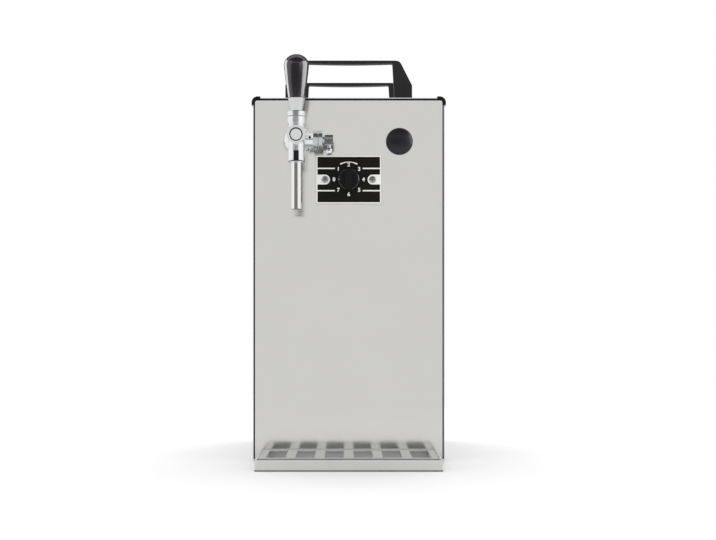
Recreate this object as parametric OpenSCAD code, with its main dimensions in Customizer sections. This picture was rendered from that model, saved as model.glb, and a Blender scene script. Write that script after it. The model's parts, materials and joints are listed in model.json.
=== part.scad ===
// Countertop draft beer dispenser: a steel-cased dry cooler with one tap,
// a lift-off drip tray, a thermostat, two carry handles and a built-in air pump.
// The front faces -Y, +Z is up, and the origin is the middle of the footprint.

/* [Casing] */
// Outside width of the casing
body_w = 179.2; // [172:0.1:200]
// Outside depth of the casing, from front panel to rear panel
body_d = 262; // [258:1:300]
// Height of the casing's top above the table
body_top = 340; // [330:1:350]
// Height of the casing's lower edge above the table
skirt_z = 2.2; // [1.5:0.1:3.5]
// Thickness of the cover sheet
sheet_t = 0.8; // [0.7:0.1:1.5]
// Outside radius of the cover's top corners
top_r = 4.5; // [4:0.5:9]
// Thickness of the front and rear panels and the base
panel_t = 1.2; // [1:0.1:1.6]
// Height of the black seam over the front panel
seam_top = 1.8; // [1:0.1:2.5]
// Width of the black seam beside the front panel
seam_side = 1.2; // [0.6:0.1:1.6]
// Depth of the panels' folded edges
fold_d = 10; // [6:1:14]
// Gap left between fitted sheets
sheet_gap = 0.2; // [0.1:0.05:0.3]
// Thickness of the black corner caps outside the cover
cap_t = 1.2; // [0.8:0.1:2]
// Length of the corner caps along the casing
cap_l = 14; // [8:1:24]
// Length of a corner cap's straight legs past the round corner
cap_leg = 2.4; // [1:0.1:5]
// Depth of the lip that a corner cap lays over the sheet edges
cap_lip = 1.5; // [1:0.1:3]

/* [Feet] */
// Height of the rubber feet
foot_h = 5; // [4:0.5:8]
// Radius of the rubber feet
foot_r = 9; // [7:0.5:11]
// Distance of the feet from the casing's edges
foot_inset = 20; // [16:1:28]
// Radius of the feet's screws
foot_screw_r = 2; // [1.5:0.1:2.5]

/* [Carry handles] */
// Length of a carry handle
grip_l = 123; // [110:1:136]
// Height of a carry handle
grip_h = 43.9; // [38:0.1:50]
// Width of a carry handle from front to back
grip_w = 10; // [9:0.5:20]
// Thickness of the bar where it meets the legs
grip_bar = 2.6; // [2.4:0.1:7]
// How far the bar's underside bows down in the middle
grip_bow = 0.8; // [0:0.1:2]
// Width of a leg at its foot
grip_leg = 16.8; // [14:0.2:20]
// Height of the leg's upright outer side
grip_side_h = 19.8; // [12:0.2:24]
// Distance of each handle's middle from the nearer panel
grip_inset = 60; // [45:1:70]
// Radius of the handle screws
grip_screw_r = 2.5; // [2:0.1:3]

/* [Tap] */
// Distance of the tap holes from the casing's sides
tap_edge = 42.3; // [37:0.1:45]
// Depth of the tap holes below the casing's top
tap_drop = 40.9; // [38:0.1:46]
// Distance of the spout in front of the panel
spout_out = 46; // [44:0.5:52]
// Radius of the tap's barrel
barrel_r = 8.4; // [8:0.1:9.5]
// Radius of the barrel's bore
barrel_bore_r = 6; // [5.6:0.1:6.4]
// Running clearance of the plunger and the pins, on the radius
run_gap = 0.05; // [0.03:0.01:0.08]
// Clearance of fixed pieces pushed into a hole, on the radius
push_gap = 0.05; // [0.03:0.01:0.08]
// Radius of the threaded shank
shank_r = 8; // [7.5:0.1:8.6]
// Radius of the beer passage in the shank
shank_bore_r = 4; // [3:0.1:4.4]
// Length of the shank behind the panel
shank_in = 36; // [30:1:38]
// Radius of the wall flange
flange_r = 14; // [13:0.5:16]
// Thickness of the wall flange
flange_t = 6; // [4:0.5:8]
// Radius of the coupling nut
coupling_r = 12.2; // [11:0.1:13]
// Length of the coupling nut
coupling_l = 11; // [8:0.5:12]
// Height of the lever's pivot above the barrel's axis
pivot_up = 11.1; // [10.6:0.1:12]
// Radius of the lever's pivot pin
pivot_r = 1.5; // [1.2:0.1:1.8]
// Radius of the two collars
collar_r = 8.25; // [8:0.05:8.8]
// Radius of the dome on which the lever turns
dome_r = 10; // [9.6:0.1:11]
// Radius of the lever's stem
stem_r = 2; // [1.6:0.1:2.1]
// Radius of the ball at the stem's lower end
ball_r = 1.8; // [1.5:0.1:2]
// Height of the ferrule under the knob
ferrule_h = 11.7; // [9:0.1:15]
// Height of the black knob
knob_h = 39.7; // [34:0.1:46]
// Greatest radius of the black knob
knob_r = 11.35; // [10:0.05:13]
// Radius of the knob where it meets the ferrule
knob_foot_r = 7.6; // [7:0.1:9]
// Radius of the spout's socket
socket_r = 7.5; // [7:0.1:8]
// Length of the socket below the barrel's axis
socket_l = 24.3; // [22:0.1:28]
// Outside radius of the spout
spout_r = 4.8; // [4:0.1:5]
// Wall of the spout
spout_wall = 0.9; // [0.6:0.1:1.2]
// Distance of the spout's end below the barrel's axis
spout_l = 66.4; // [55:0.1:75]

/* [Compensator] */
// Distance of the compensator's axis in front of the panel
comp_out = 27; // [25.5:0.5:28]
// Drop of the compensator's axis below the barrel's axis
comp_drop = 2; // [0:0.1:2]
// Radius of the branch on the tap's barrel
branch_r = 6.75; // [6:0.05:7.2]
// Reach of the branch from the tap's middle
branch_l = 14.7; // [14:0.1:18]
// Radius of the compensator's housing
comp_r = 8.7; // [8:0.1:9.4]
// Length of the compensator's housing
comp_l = 8.6; // [7:0.1:11]
// Radius of the compensator's spindle
spindle_r = 2.6; // [2.2:0.1:2.8]
// Radius of the compensator's knurled knob
comp_knob_r = 5; // [4.5:0.1:6]
// Length of the compensator's knurled knob
comp_knob_l = 7.5; // [7:0.1:9]
// Length of the compensator's lever from its axis to the ball
comp_lever_l = 9.6; // [9.2:0.1:12]

/* [Blanking plug] */
// Radius of the plug's dome
plug_r = 12.6; // [12:0.1:14]
// Height of the plug's dome
plug_h = 5.5; // [4:0.1:8]
// Radius of the hole that the plug closes
plug_hole_r = 11; // [10:0.1:11.6]

/* [Thermostat] */
// Width of the scale plate
scale_w = 61.4; // [58:0.2:68]
// Height of the scale plate
scale_h = 45.4; // [42:0.2:52]
// Thickness of the scale plate
scale_t = 1; // [0.8:0.1:1.5]
// Depth of the scale plate's middle below the casing's top
scale_drop = 76.6; // [74:0.1:82]
// Distance of the scale plate's screws from its middle
scale_screw_dx = 22.2; // [20:0.1:25]
// Radius of the thermostat's knob
dial_r = 9.8; // [9:0.1:11]
// Height of the thermostat's knob
dial_h = 10.5; // [9:0.5:16]
// Radius of the thermostat's shaft
dial_shaft_r = 3; // [2.5:0.1:3.4]
// Depth of the thermostat's housing
thermo_d = 34; // [28:0.5:35]

/* [Drip tray] */
// Width of the drip tray
tray_w = 164.6; // [140:0.1:172]
// Depth of the drip tray from front to back
tray_d = 92; // [80:1:160]
// Height of the drip tray
tray_h = 11.6; // [11:0.1:16]
// Wall of the drip tray
tray_t = 1; // [0.8:0.1:1.5]
// Width of the tray's rolled rim
rim_w = 3; // [2:0.1:4]
// Thickness of the grille
grille_t = 1.2; // [1:0.1:2]
// Number of slots in the grille
slots = 6; // [4:1:8]
// Width of the bars between the slots
slot_bar = 8.7; // [5:0.1:11]
// Width of the grille's plain ends beside the slots
slot_end = 6; // [5.8:0.1:12]
// Width of the plain strips in front of and behind the slots
slot_edge = 4.6; // [3:0.1:12]
// Gap between the tray, the grille and what they stand against
tray_gap = 0.4; // [0.3:0.05:0.6]

/* [Cooling set] */
// Radius of the compressor's shell
comp_shell_r = 52; // [46:1:54]
// Height of the compressor's shell
comp_shell_h = 118; // [100:1:124]
// Height of the shelf that carries the cooling block
shelf_z = 150; // [148:1:154]
// Radius of the beer coil's tube
beer_tube_r = 3.5; // [3:0.1:3.7]
// Radius of the beer coil at the middle of its tube
beer_coil_r = 35.6; // [35:0.1:38]
// Turns of the beer coil
beer_turns = 11; // [8:1:12]
// Radius of the evaporator's tube
evap_tube_r = 3; // [2.5:0.1:3.3]
// Turns of the evaporator, besides its half turn
evap_turns = 9; // [6:1:10]
// Gap between the wound tubes and their neighbours
coil_gap = 0.7; // [0.6:0.05:1]
// Wall of the insulation round the cooling block
foam_wall = 14; // [12:0.5:15]
// Radius of the fan's blades
fan_r = 50; // [40:1:52]
// Blades of the fan
fan_blades = 7; // [5:1:9]
// Fins of the condenser
fin_count = 18; // [12:1:20]

/* [Rear fittings] */
// Radius of the beer inlet's stub
beer_stub_r = 4.75; // [4:0.05:5]
// Radius of the air outlet's stub
air_stub_r = 4; // [3:0.05:4.5]
// Length of the stubs behind the rear panel
stub_l = 20; // [16:0.5:26]
// Length of the smooth end of the stubs
stub_smooth = 13; // [10:0.5:14]
// Throw of the rocker switches in degrees
rocker_throw = 18; // [10:1:20]

/* [Hidden] */
$fn = 64;

// Overrun of a cut past the face that it opens
cut = 1;

// Overall places
front_y = tray_gap + tray_d - (tray_d + tray_gap + body_d + stub_l) / 2;
rear_y = front_y + body_d;
in_half_w = body_w / 2 - sheet_t;
panel_half_w = in_half_w - seam_side;
panel_top = body_top - sheet_t - seam_top;
least_r = 0.5;
panel_r = max(top_r - sheet_t - seam_top, 2 * least_r);
base_half_w = panel_half_w - panel_t - sheet_gap;
base_top = foot_h + panel_t;
rear_half_w = in_half_w - sheet_gap;
cover_top_in = body_top - sheet_t;
pan_flange = 14;
lug_h = 13;
lug_reach = 5;
lug_gap = 1;
rear_screw_r = 1.5;
rear_screw_edge = 6;
rear_screw_drop = 18;
rear_screw_low = foot_h + pan_flange + lug_gap + lug_h / 2;
rear_screws_xz = [for (sx = [-1, 1], z = [rear_screw_low, body_top / 2, body_top - rear_screw_drop])
    [sx * (rear_half_w - rear_screw_edge), z]];
feet_xy = [for (sx = [-1, 1], y = [front_y + foot_inset, rear_y - foot_inset])
    [sx * (body_w / 2 - foot_inset), y]];
foot_head_r = foot_screw_r * 2;
foot_recess = foot_h * 0.5;

// Handles
grip_ys = [front_y + grip_inset, rear_y - grip_inset];
grip_leg_x = grip_l / 2 - grip_leg / 2;
grip_screw_in = 14;
grip_tip_gap = 1;
grip_screw_head_r = grip_screw_r * 1.8;
grip_screw_head_h = 3;

// Tap, measured from the middle of its hole in the panel
tap_dx = body_w / 2 - tap_edge;
tap_x = -tap_dx;
tap_z = body_top - tap_drop;
barrel_nose = 10.5;
barrel_y0 = flange_t + coupling_l;
barrel_y1 = spout_out + barrel_nose;
valve_back = 9.5;
valve_front = 6.2;
valve_y0 = spout_out - valve_back;
valve_y1 = spout_out + valve_front;
cap_disc_t = 3;
neck_step = 1;
neck_r = collar_r - neck_step;
bonnet_step = 0.2;
bonnet_bore_r = barrel_bore_r - bonnet_step;
dome_gap = 0.3;
neck_top = pivot_up - dome_gap;
collar_edge_z = pivot_up + sqrt(pow(dome_r + dome_gap, 2) - pow(collar_r, 2));
collar_band = 4.4;
collar_top = collar_edge_z + collar_band;
ferrule_foot_r = 5.5;
collar_crown = 0.8;
ferrule_z = pivot_up + dome_r + dome_gap + collar_crown;
knob_z = ferrule_z + ferrule_h;
stem_in_knob = 12;
hub_wall = 2;
hub_r = pivot_r + hub_wall;
hub_half = 3.9;
arm_step = 0.5;
arm_r = ball_r - arm_step;
o_ring_w = 1.6;
o_ring_depth = 1.2;
o_ring_first = 1.6;
o_ring_pitch = 2.5;
plunger_r = barrel_bore_r - run_gap;
shank_gap = 0.3;
shank_hole_r = shank_r + shank_gap;
socket_in = 12;

// Compensator, measured from the tap's middle
comp_end = branch_l + comp_l;
comp_ring_l = 1.8;
comp_ring_wall = 1.2;
comp_ring_r = spindle_r + comp_ring_wall;
comp_knob_gap = 0.3;
comp_knob_x0 = comp_end + comp_ring_l + comp_knob_gap;
comp_knob_x1 = comp_knob_x0 + comp_knob_l;
comp_knob_end = 1;
lever_pin_r = 1.9;
lever_ball_r = 3.2;
lever_pin_in = 2.2;
lever_pin_gap = 0.1;
press_gap = 0.02;

// Thermostat
scale_z = body_top - scale_drop;
dial_gap = 0.5;
thermo_w = 36;
thermo_h = 34;
thermo_y0 = front_y + panel_t;
thermo_y1 = thermo_y0 + thermo_d;
scale_screw_r = 1.7;
scale_screw_in = 5;
scale_tip_gap = 2;
dial_boss_wall = 2.5;
dial_boss_r = dial_shaft_r + dial_boss_wall;
dial_shaft_in = 20;

// Drip tray
tray_y1 = front_y - tray_gap;
tray_y0 = tray_y1 - tray_d;
grille_sink = 0.2;
grille_top = tray_h - grille_sink;
grille_leg_r = 2.5;
grille_half_w = tray_w / 2 - rim_w - tray_gap;
grille_y0 = tray_y0 + rim_w + tray_gap;
grille_y1 = tray_y1 - rim_w - tray_gap;
slot_pitch = (2 * (grille_half_w - slot_end) + slot_bar) / slots;
slot_w = slot_pitch - slot_bar;

// Cooling block
core_ahead = 5.5;
lid_room = 32;
coil_floor_gap = 2;
coil_tap_drop = 5;
evap_low = 18;
evap_high = 8;
core_lid_gap = 0.5;
beer_out_r = beer_coil_r + beer_tube_r;
beer_sag = beer_coil_r * (1 - cos(360 / 48));
core_r = beer_coil_r - beer_tube_r - beer_sag - coil_gap / 2;
evap_coil_r = beer_out_r + coil_gap + evap_tube_r;
foam_bore_r = evap_coil_r + evap_tube_r + coil_gap;
foam_half = foam_bore_r + foam_wall;
core_y = thermo_y1 + core_ahead + foam_half;
foam_z0 = shelf_z + panel_t;
foam_floor = foam_z0 + foam_wall;
foam_top = body_top - lid_room;
lid_top = foam_top + foam_wall;
lid_in = 4;
coil_z0 = foam_floor + beer_tube_r + coil_floor_gap;
coil_z1 = tap_z - coil_tap_drop;
evap_z0 = coil_z0 + evap_low;
evap_z1 = coil_z1 - evap_high;
core_top = foam_top - lid_in - core_lid_gap;
foam_y0 = core_y - foam_half;
foam_y1 = core_y + foam_half;
shank_end_y = front_y + shank_in;

// Refrigerant set
fan_depth = 24;
shroud_t = 2;
cond_d = 28;
cond_y1 = rear_y - panel_t - sheet_gap - fan_depth;
cond_y0 = cond_y1 - cond_d;
cond_side = 14;
cond_half_w = fan_r + cond_side;
cond_shelf_gap = 4;
cond_z0 = base_top;
cond_z1 = shelf_z - cond_shelf_gap;
fan_under = 10;
fan_z = base_top + fan_r + fan_under;
compressor_ahead = 16;
compressor_y = front_y + panel_t + comp_shell_r + compressor_ahead;
grommet_h = 7;
grommet_r = 6;
grommet_off = comp_shell_r * 0.82;
foot_plate_t = 1.5;
shell_z0 = base_top + grommet_h + foot_plate_t;
suction_behind = 8;
suction_y = foam_y1 + suction_behind;
suction_z = shell_z0 + comp_shell_h * 0.72;
discharge_x = 20;
discharge_up = 44;
discharge_z = shell_z0 + discharge_up;
drop_y = cond_y0 + cond_d / 2;
drier_r = 7;
drier_behind = 6;
drier_past_drop = 14;
drier_l = 34;
drier_y0 = foam_y1 + drier_behind;
drier_y1 = max(drop_y + drier_past_drop, drier_y0 + drier_l);
shelf_ahead = 4;
shelf_behind = 2;
shelf_y0 = thermo_y1 + shelf_ahead;
shelf_y1 = rear_y - panel_t - fold_d - shelf_behind;

// Rear fittings, as [x, z] on the rear panel
beer_in_xz = [-beer_coil_r, coil_z0];
air_out_x = 28;
air_out_up = 42;
air_out_xz = [air_out_x, shelf_z + air_out_up];
inlet_x = 38;
inlet_drop = 84;
inlet_xz = [inlet_x, body_top - inlet_drop];
rocker_x = 24;
rocker_pitch = 28;
rocker_drop = 40;
rocker_xz = [for (i = [0, 1]) [rocker_x + i * rocker_pitch, body_top - rocker_drop]];
stub_bore_r = 2.6;
stub_hex_r = 9;
inlet_w = 27.5;
inlet_h = 20.5;
frame_w = 19;
frame_h = 27;
frame_lip = 1.5;
rocker_w = 12.4;
rocker_h = 20.4;
rocker_axle_r = 1.5;
rocker_gap = 0.4;
pump_behind = 16;
pump_l = 56;
pump_y1 = rear_y - pump_behind;
pump_y0 = pump_y1 - pump_l;
pump_half_w = 27;
pump_h = 46;
pump_port_l = 3;
port_gap = 0.2;

// Points on an arc about c, from angle a0 to a1
function arc_pts(c, r, a0, a1, n = 8) =
    [for (i = [0 : n]) c + r * [cos(a0 + (a1 - a0) * i / n), sin(a0 + (a1 - a0) * i / n)]];

// Points on a curve that leaves a towards b and arrives at c
function bend_pts(a, b, c, n = 6) =
    [for (i = [0 : n]) let (t = i / n) (1 - t) * (1 - t) * a + 2 * t * (1 - t) * b + t * t * c];

// Points in reverse order, and an outline's mirror in reverse order
function backwards(pts) = [for (i = [len(pts) - 1 : -1 : 0]) pts[i]];
function mirrored(pts) = [for (p = backwards(pts)) [-p[0], p[1]]];

function unit(v) = v / norm(v);
function ease(t) = t * t * (3 - 2 * t);

// Directions along a path, and a side vector at each point that never twists
function headings(p) =
    [for (i = [0 : len(p) - 1]) unit(p[min(i + 1, len(p) - 1)] - p[max(i - 1, 0)])];
function squared(n, t) = unit(n - (n * t) * t);
function side_vectors(t) =
    [for (i = 0, n = squared(abs(t[0][2]) < 0.8 ? [0, 0, 1] : [1, 0, 0], t[0]); i < len(t);
        i = i + 1, n = squared(n, t[min(i, len(t) - 1)])) n];

// Turns of a tube about a vertical line at [0, y], starting on its -X side
function helix_pts(y, r, z0, z1, turns, steps = 24) =
    [for (i = [0 : turns * steps]) let (a = 180 + 360 * i / steps)
        [r * cos(a), y + r * sin(a), z0 + (z1 - z0) * i / (turns * steps)]];

// Least gap between a tube's neighbouring turns
function turn_gap(p, r, steps = 24) =
    min([for (i = [0 : len(p) - steps - 5], k = [steps - 4 : steps + 4]) norm(p[i] - p[i + k])]) - 2 * r;

// Beer's way from the rear inlet through the coil to the shank
beer_helix = helix_pts(core_y, beer_coil_r, coil_z0, coil_z1, beer_turns);
beer_in_back = 14;
beer_in_y = rear_y - beer_in_back;
beer_lead = [for (i = [1 : 9]) let (t = i / 9)
    [-beer_coil_r + (tap_x + beer_coil_r) * ease(t),
        core_y + (shank_end_y - core_y) * t,
        coil_z1 + (tap_z - coil_z1) * ease(t)]];
beer_path = concat([[-beer_coil_r, beer_in_y, coil_z0], [-beer_coil_r, foam_y1, coil_z0]],
    beer_helix, beer_lead);

// Refrigerant's way from the drier through the evaporator to the compressor
pipe_bend = 7;
pipe_stub = 2;
evap_run = 20;
evap_helix = helix_pts(core_y, evap_coil_r, evap_z0, evap_z1, evap_turns + 0.5);
suction_end_y = compressor_y + comp_shell_r + pipe_stub;
evap_path = concat(
    [[-evap_coil_r, drier_y0, evap_z0], [-evap_coil_r, core_y + evap_run, evap_z0]],
    evap_helix,
    [for (p = arc_pts([suction_y - pipe_bend, evap_z1 - pipe_bend], pipe_bend, 90, 0, 5))
        [evap_coil_r, p[0], p[1]]],
    [for (p = arc_pts([suction_y - pipe_bend, suction_z + pipe_bend], pipe_bend, 0, -90, 5))
        [evap_coil_r, p[0], p[1]]],
    [[evap_coil_r, suction_end_y, suction_z]]);

// Capillary's way from the thermostat over the lid to the bulb
capillary_r = 1.2;
capillary_bend = 7;
capillary_over = 5;
capillary_top = lid_top + capillary_over;
capillary_turn = capillary_top - capillary_bend;
capillary_y = thermo_y0 + thermo_d / 2;
bulb_r = 2.6;
bulb_gap = 0.5;
bulb_drop = 6;
bulb_l = 55;
bulb_z1 = core_top - bulb_drop;
bulb_z0 = bulb_z1 - bulb_l;
capillary_path = concat(
    [[0, capillary_y, scale_z + thermo_h / 2]],
    [for (p = arc_pts([capillary_y + capillary_bend, capillary_turn], capillary_bend, 180, 90, 5))
        [0, p[0], p[1]]],
    [for (p = arc_pts([core_y - capillary_bend, capillary_turn], capillary_bend, 90, 0, 5))
        [0, p[0], p[1]]],
    [[0, core_y, bulb_z1]]);

echo(beer_coil_gap = turn_gap(beer_helix, beer_tube_r));
echo(evaporator_gap = turn_gap(evap_helix, evap_tube_r));

// Box between two corners
module block(x0, x1, y0, y1, z0, z1) {
    translate([x0, y0, z0]) cube([x1 - x0, y1 - y0, z1 - z0]);
}

// Round rods along the three axes
module rod_x(r, x0, x1) {
    translate([x0, 0, 0]) rotate([0, 90, 0]) cylinder(r = r, h = x1 - x0);
}
module rod_y(r, y0, y1) {
    translate([0, y0, 0]) rotate([-90, 0, 0]) cylinder(r = r, h = y1 - y0);
}
module rod_z(r, z0, z1) {
    translate([0, 0, z0]) cylinder(r = r, h = z1 - z0);
}

// An outline in X and Z drawn out along Y, and one in Y and Z drawn out along X
module along_y(y0, y1) {
    translate([0, y1, 0]) rotate([90, 0, 0]) linear_extrude(height = y1 - y0) children();
}
module along_x(x0, x1) {
    translate([x0, 0, 0]) rotate([90, 0, 90]) linear_extrude(height = x1 - x0) children();
}

// Casing outline: square below, rounded at both top corners
module arch(half_w, z0, z1, r) {
    right = arc_pts([half_w - r, z1 - r], r, 0, 90);
    polygon(concat([[-half_w, z0], [half_w, z0]], right, mirrored(right)));
}

// Round tube swept along a path
module swept(path, r, sides) {
    t = headings(path);
    n = side_vectors(t);
    rings = len(path);
    points = [for (i = [0 : rings - 1], j = [0 : sides - 1]) let (a = 360 * j / sides)
        path[i] + r * (cos(a) * n[i] + sin(a) * cross(t[i], n[i]))];
    first = [for (j = [1 : sides - 2]) [0, j, j + 1]];
    last = [for (j = [1 : sides - 2]) let (k = (rings - 1) * sides) [k, k + j + 1, k + j]];
    walls = [for (i = [0 : rings - 2], j = [0 : sides - 1], half = [0, 1])
        let (a = i * sides + j, b = i * sides + (j + 1) % sides)
        half == 0 ? [a, a + sides, b + sides] : [a, b + sides, b]];
    polyhedron(points = points, faces = concat(first, last, walls));
}

// Frame of the tap: the middle of its hole on the panel's front
module at_tap() {
    translate([tap_x, front_y, tap_z]) children();
}

// Turned shape whose axis points forward out of the panel
module forward() {
    rotate([90, 0, 0]) children();
}

// Places of the spout's and the compensator's axes in the tap's frame
module at_spout() {
    translate([0, -spout_out, 0]) children();
}
module at_compensator() {
    translate([0, -comp_out, -comp_drop]) children();
}

// Casing

module base_pan() {
    y0 = front_y + panel_t + sheet_gap;
    y1 = rear_y - panel_t - sheet_gap;
    color("#9a9c9c") difference() {
        union() {
            block(-base_half_w, base_half_w, y0, y1, foot_h, base_top);
            for (sx = [-1, 1])
                translate([sx * (base_half_w - panel_t / 2) - panel_t / 2, y0, foot_h])
                    cube([panel_t, y1 - y0, pan_flange]);
            block(-base_half_w, base_half_w, y1 - panel_t, y1, foot_h, foot_h + pan_flange);
        }
        for (p = feet_xy)
            translate([p[0], p[1], 0]) rod_z(foot_screw_r + push_gap, 0, base_top + cut);
    }
}

module rubber_feet() {
    bevel = 1;
    head_gap = 0.5;
    color("#1c1c1c") for (p = feet_xy)
        translate([p[0], p[1], 0]) difference() {
            union() {
                cylinder(r1 = foot_r - bevel, r2 = foot_r, h = bevel);
                rod_z(foot_r, bevel, foot_h);
            }
            rod_z(foot_head_r + head_gap, -cut, foot_recess);
            rod_z(foot_screw_r + push_gap, 0, foot_h + cut);
        }
}

module feet_screws() {
    head_h = 1.6;
    past_pan = 4;
    color("#b9babb") for (p = feet_xy)
        translate([p[0], p[1], 0]) {
            rod_z(foot_head_r, foot_recess - head_h, foot_recess);
            rod_z(foot_screw_r, foot_recess - head_h, base_top + past_pan);
        }
}

module front_panel() {
    color("#c9c8c3") difference() {
        union() {
            along_y(front_y, front_y + panel_t)
                arch(panel_half_w, skirt_z, panel_top, panel_r);
            along_y(front_y, front_y + fold_d) difference() {
                arch(panel_half_w, skirt_z, panel_top, panel_r);
                arch(panel_half_w - panel_t, skirt_z - cut, panel_top - panel_t,
                    max(panel_r - panel_t, least_r));
            }
        }
        at_tap() rod_y(shank_hole_r, -cut, panel_t + cut);
        translate([tap_dx, front_y, tap_z]) rod_y(plug_hole_r, -cut, panel_t + cut);
        translate([0, front_y, scale_z]) {
            rod_y(dial_boss_r + sheet_gap, -cut, panel_t + cut);
            for (sx = [-1, 1])
                translate([sx * scale_screw_dx, 0, 0])
                    rod_y(scale_screw_r + sheet_gap, -cut, panel_t + cut);
        }
    }
}

module front_edge_trim() {
    sunk = 0.5;
    color("#2a2a2a") along_y(front_y + sunk, front_y + fold_d) difference() {
        arch(in_half_w, skirt_z, cover_top_in, top_r - sheet_t);
        arch(panel_half_w, skirt_z - cut, panel_top, panel_r);
    }
}

module wrap_cover() {
    vents = 10;
    vent_h = 4;
    vent_pitch = 9;
    vent_z = 38;
    vent_l = 60;
    vent_rear = 24;
    vent_y1 = rear_y - vent_rear;
    sunk = 0.3;
    color("#c4c5c4") difference() {
        union() {
            along_y(front_y + sunk, rear_y) difference() {
                arch(body_w / 2, skirt_z, body_top, top_r);
                arch(in_half_w, skirt_z - cut, cover_top_in, top_r - sheet_t);
            }
            for (p = rear_screws_xz) {
                side = sign(p[0]) * (in_half_w + sheet_t / 2);
                reach = p[0] - sign(p[0]) * lug_reach;
                block(min(side, reach), max(side, reach),
                    rear_y - panel_t - sheet_t, rear_y - panel_t, p[1] - lug_h / 2, p[1] + lug_h / 2);
            }
        }
        for (i = [0 : vents - 1])
            block(-body_w, body_w, vent_y1 - vent_l, vent_y1,
                vent_z + i * vent_pitch, vent_z + i * vent_pitch + vent_h);
        for (y = grip_ys, sx = [-1, 1])
            translate([sx * grip_leg_x, y, 0])
                rod_z(grip_screw_r + sheet_gap, cover_top_in - cut, body_top + cut);
        for (p = rear_screws_xz)
            translate([p[0], rear_y, p[1]]) rod_y(rear_screw_r + push_gap, -panel_t - sheet_t - cut, cut);
    }
}

module rear_panel() {
    slot_step = 8;
    slot_h = 4.4;
    rib = 2.5;
    rows = 6;
    fan_open_r = fan_r + blade_gap;
    frame_cut_w = frame_w / 2 - frame_lip + sheet_gap;
    frame_cut_h = frame_h / 2 - frame_lip + sheet_gap;
    color("#b4b5b5") difference() {
        along_y(rear_y - panel_t, rear_y)
            arch(rear_half_w, skirt_z, cover_top_in - sheet_gap, top_r - sheet_t - sheet_gap);
        for (k = [-rows : rows], sx = [-1, 1]) {
            dz = k * slot_step;
            reach = sqrt(pow(fan_open_r, 2) - pow(dz, 2));
            block(min(sx * rib, sx * reach), max(sx * rib, sx * reach), rear_y - panel_t - cut, rear_y + cut,
                fan_z + dz - slot_h / 2, fan_z + dz + slot_h / 2);
        }
        translate([beer_in_xz[0], rear_y, beer_in_xz[1]])
            rod_y(beer_stub_r + sheet_gap, -panel_t - cut, cut);
        translate([air_out_xz[0], rear_y, air_out_xz[1]])
            rod_y(air_stub_r + sheet_gap, -panel_t - cut, cut);
        for (p = rear_screws_xz)
            translate([p[0], rear_y, p[1]]) rod_y(rear_screw_r + push_gap, -panel_t - cut, cut);
        for (p = rocker_xz)
            translate([p[0], rear_y, p[1]])
                block(-frame_cut_w, frame_cut_w, -panel_t - cut, cut, -frame_cut_h, frame_cut_h);
        translate([inlet_xz[0], rear_y, inlet_xz[1]])
            block(-inlet_w / 2 - sheet_gap, inlet_w / 2 + sheet_gap, -panel_t - cut, cut,
                -inlet_h / 2 - sheet_gap, inlet_h / 2 + sheet_gap);
    }
}

module rear_panel_screws() {
    head_r = 3.2;
    head_h = 1.8;
    screw_l = 7;
    recess = 0.9;
    cross_half = 2.2;
    cross_t = 0.4;
    color("#a5a6a7") for (p = rear_screws_xz)
        translate([p[0], rear_y, p[1]]) difference() {
            union() {
                rod_y(head_r, 0, head_h);
                rod_y(rear_screw_r, -screw_l, head_h / 2);
            }
            block(-cross_half, cross_half, head_h - recess, head_h + cut, -cross_t, cross_t);
            block(-cross_t, cross_t, head_h - recess, head_h + cut, -cross_half, cross_half);
        }
}

// Points along a corner cap at the radius r, from the end of its side leg to the end of its top leg
function cap_pts(r) =
    let (c = [body_w / 2 - top_r, body_top - top_r])
    concat([c + [r, -cap_leg]], arc_pts(c, r, 0, 90), [c + [-cap_leg, r]]);

// Black cap over one top corner, for the side sx and the end whose sheet edges lie at y
module corner_cap(sx, y, out) {
    outer = cap_pts(top_r + cap_t);
    inner = backwards(cap_pts(top_r));
    lip = backwards(cap_pts(top_r - cap_lip));
    mirror([sx < 0 ? 1 : 0, 0, 0]) {
        along_y(min(y + out * cap_t, y - out * cap_l), max(y + out * cap_t, y - out * cap_l))
            polygon(concat(outer, inner));
        along_y(min(y, y + out * cap_t), max(y, y + out * cap_t))
            polygon(concat(outer, lip));
    }
}

module corner_caps() {
    color("#151515") for (sx = [-1, 1]) {
        corner_cap(sx, front_y, -1);
        corner_cap(sx, rear_y, 1);
    }
}

// Carry handle with its middle at y
module carry_handle(y) {
    slope_in = 10.7;
    slope_drop = 3;
    crown_in = 1.55;
    flat_in = 6;
    lean = 2.2;
    fillet = 1.5;
    slope = [grip_l / 2 - slope_in, grip_h - slope_drop];
    crown = [slope[0] - crown_in, grip_h];
    flat_x = slope[0] - flat_in;
    right = concat([[grip_l / 2, 0], [grip_l / 2, grip_side_h]],
        bend_pts(slope, crown, [flat_x, grip_h]));
    foot_x = grip_l / 2 - grip_leg;
    under = grip_h - grip_bar;
    inner_x = foot_x - lean;
    arch_half = inner_x - fillet;
    inside = concat([[foot_x, -cut]],
        bend_pts([inner_x, under - fillet], [inner_x, under], [arch_half, under]),
        [for (i = [1 : 4]) let (t = 1 - i / 4) [arch_half * t, under - grip_bow * (1 - t * t)]]);
    difference() {
        translate([0, y, body_top]) along_y(-grip_w / 2, grip_w / 2) difference() {
            polygon(concat(right, mirrored(right)));
            polygon(concat(inside, mirrored(inside)));
        }
        for (sx = [-1, 1])
            translate([sx * grip_leg_x, y, body_top])
                rod_z(grip_screw_r + push_gap, -cut, grip_screw_in);
    }
}

module front_carry_handle() {
    color("#1d1d1f") carry_handle(grip_ys[0]);
}

module rear_carry_handle() {
    color("#1d1d1f") carry_handle(grip_ys[1]);
}

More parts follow.
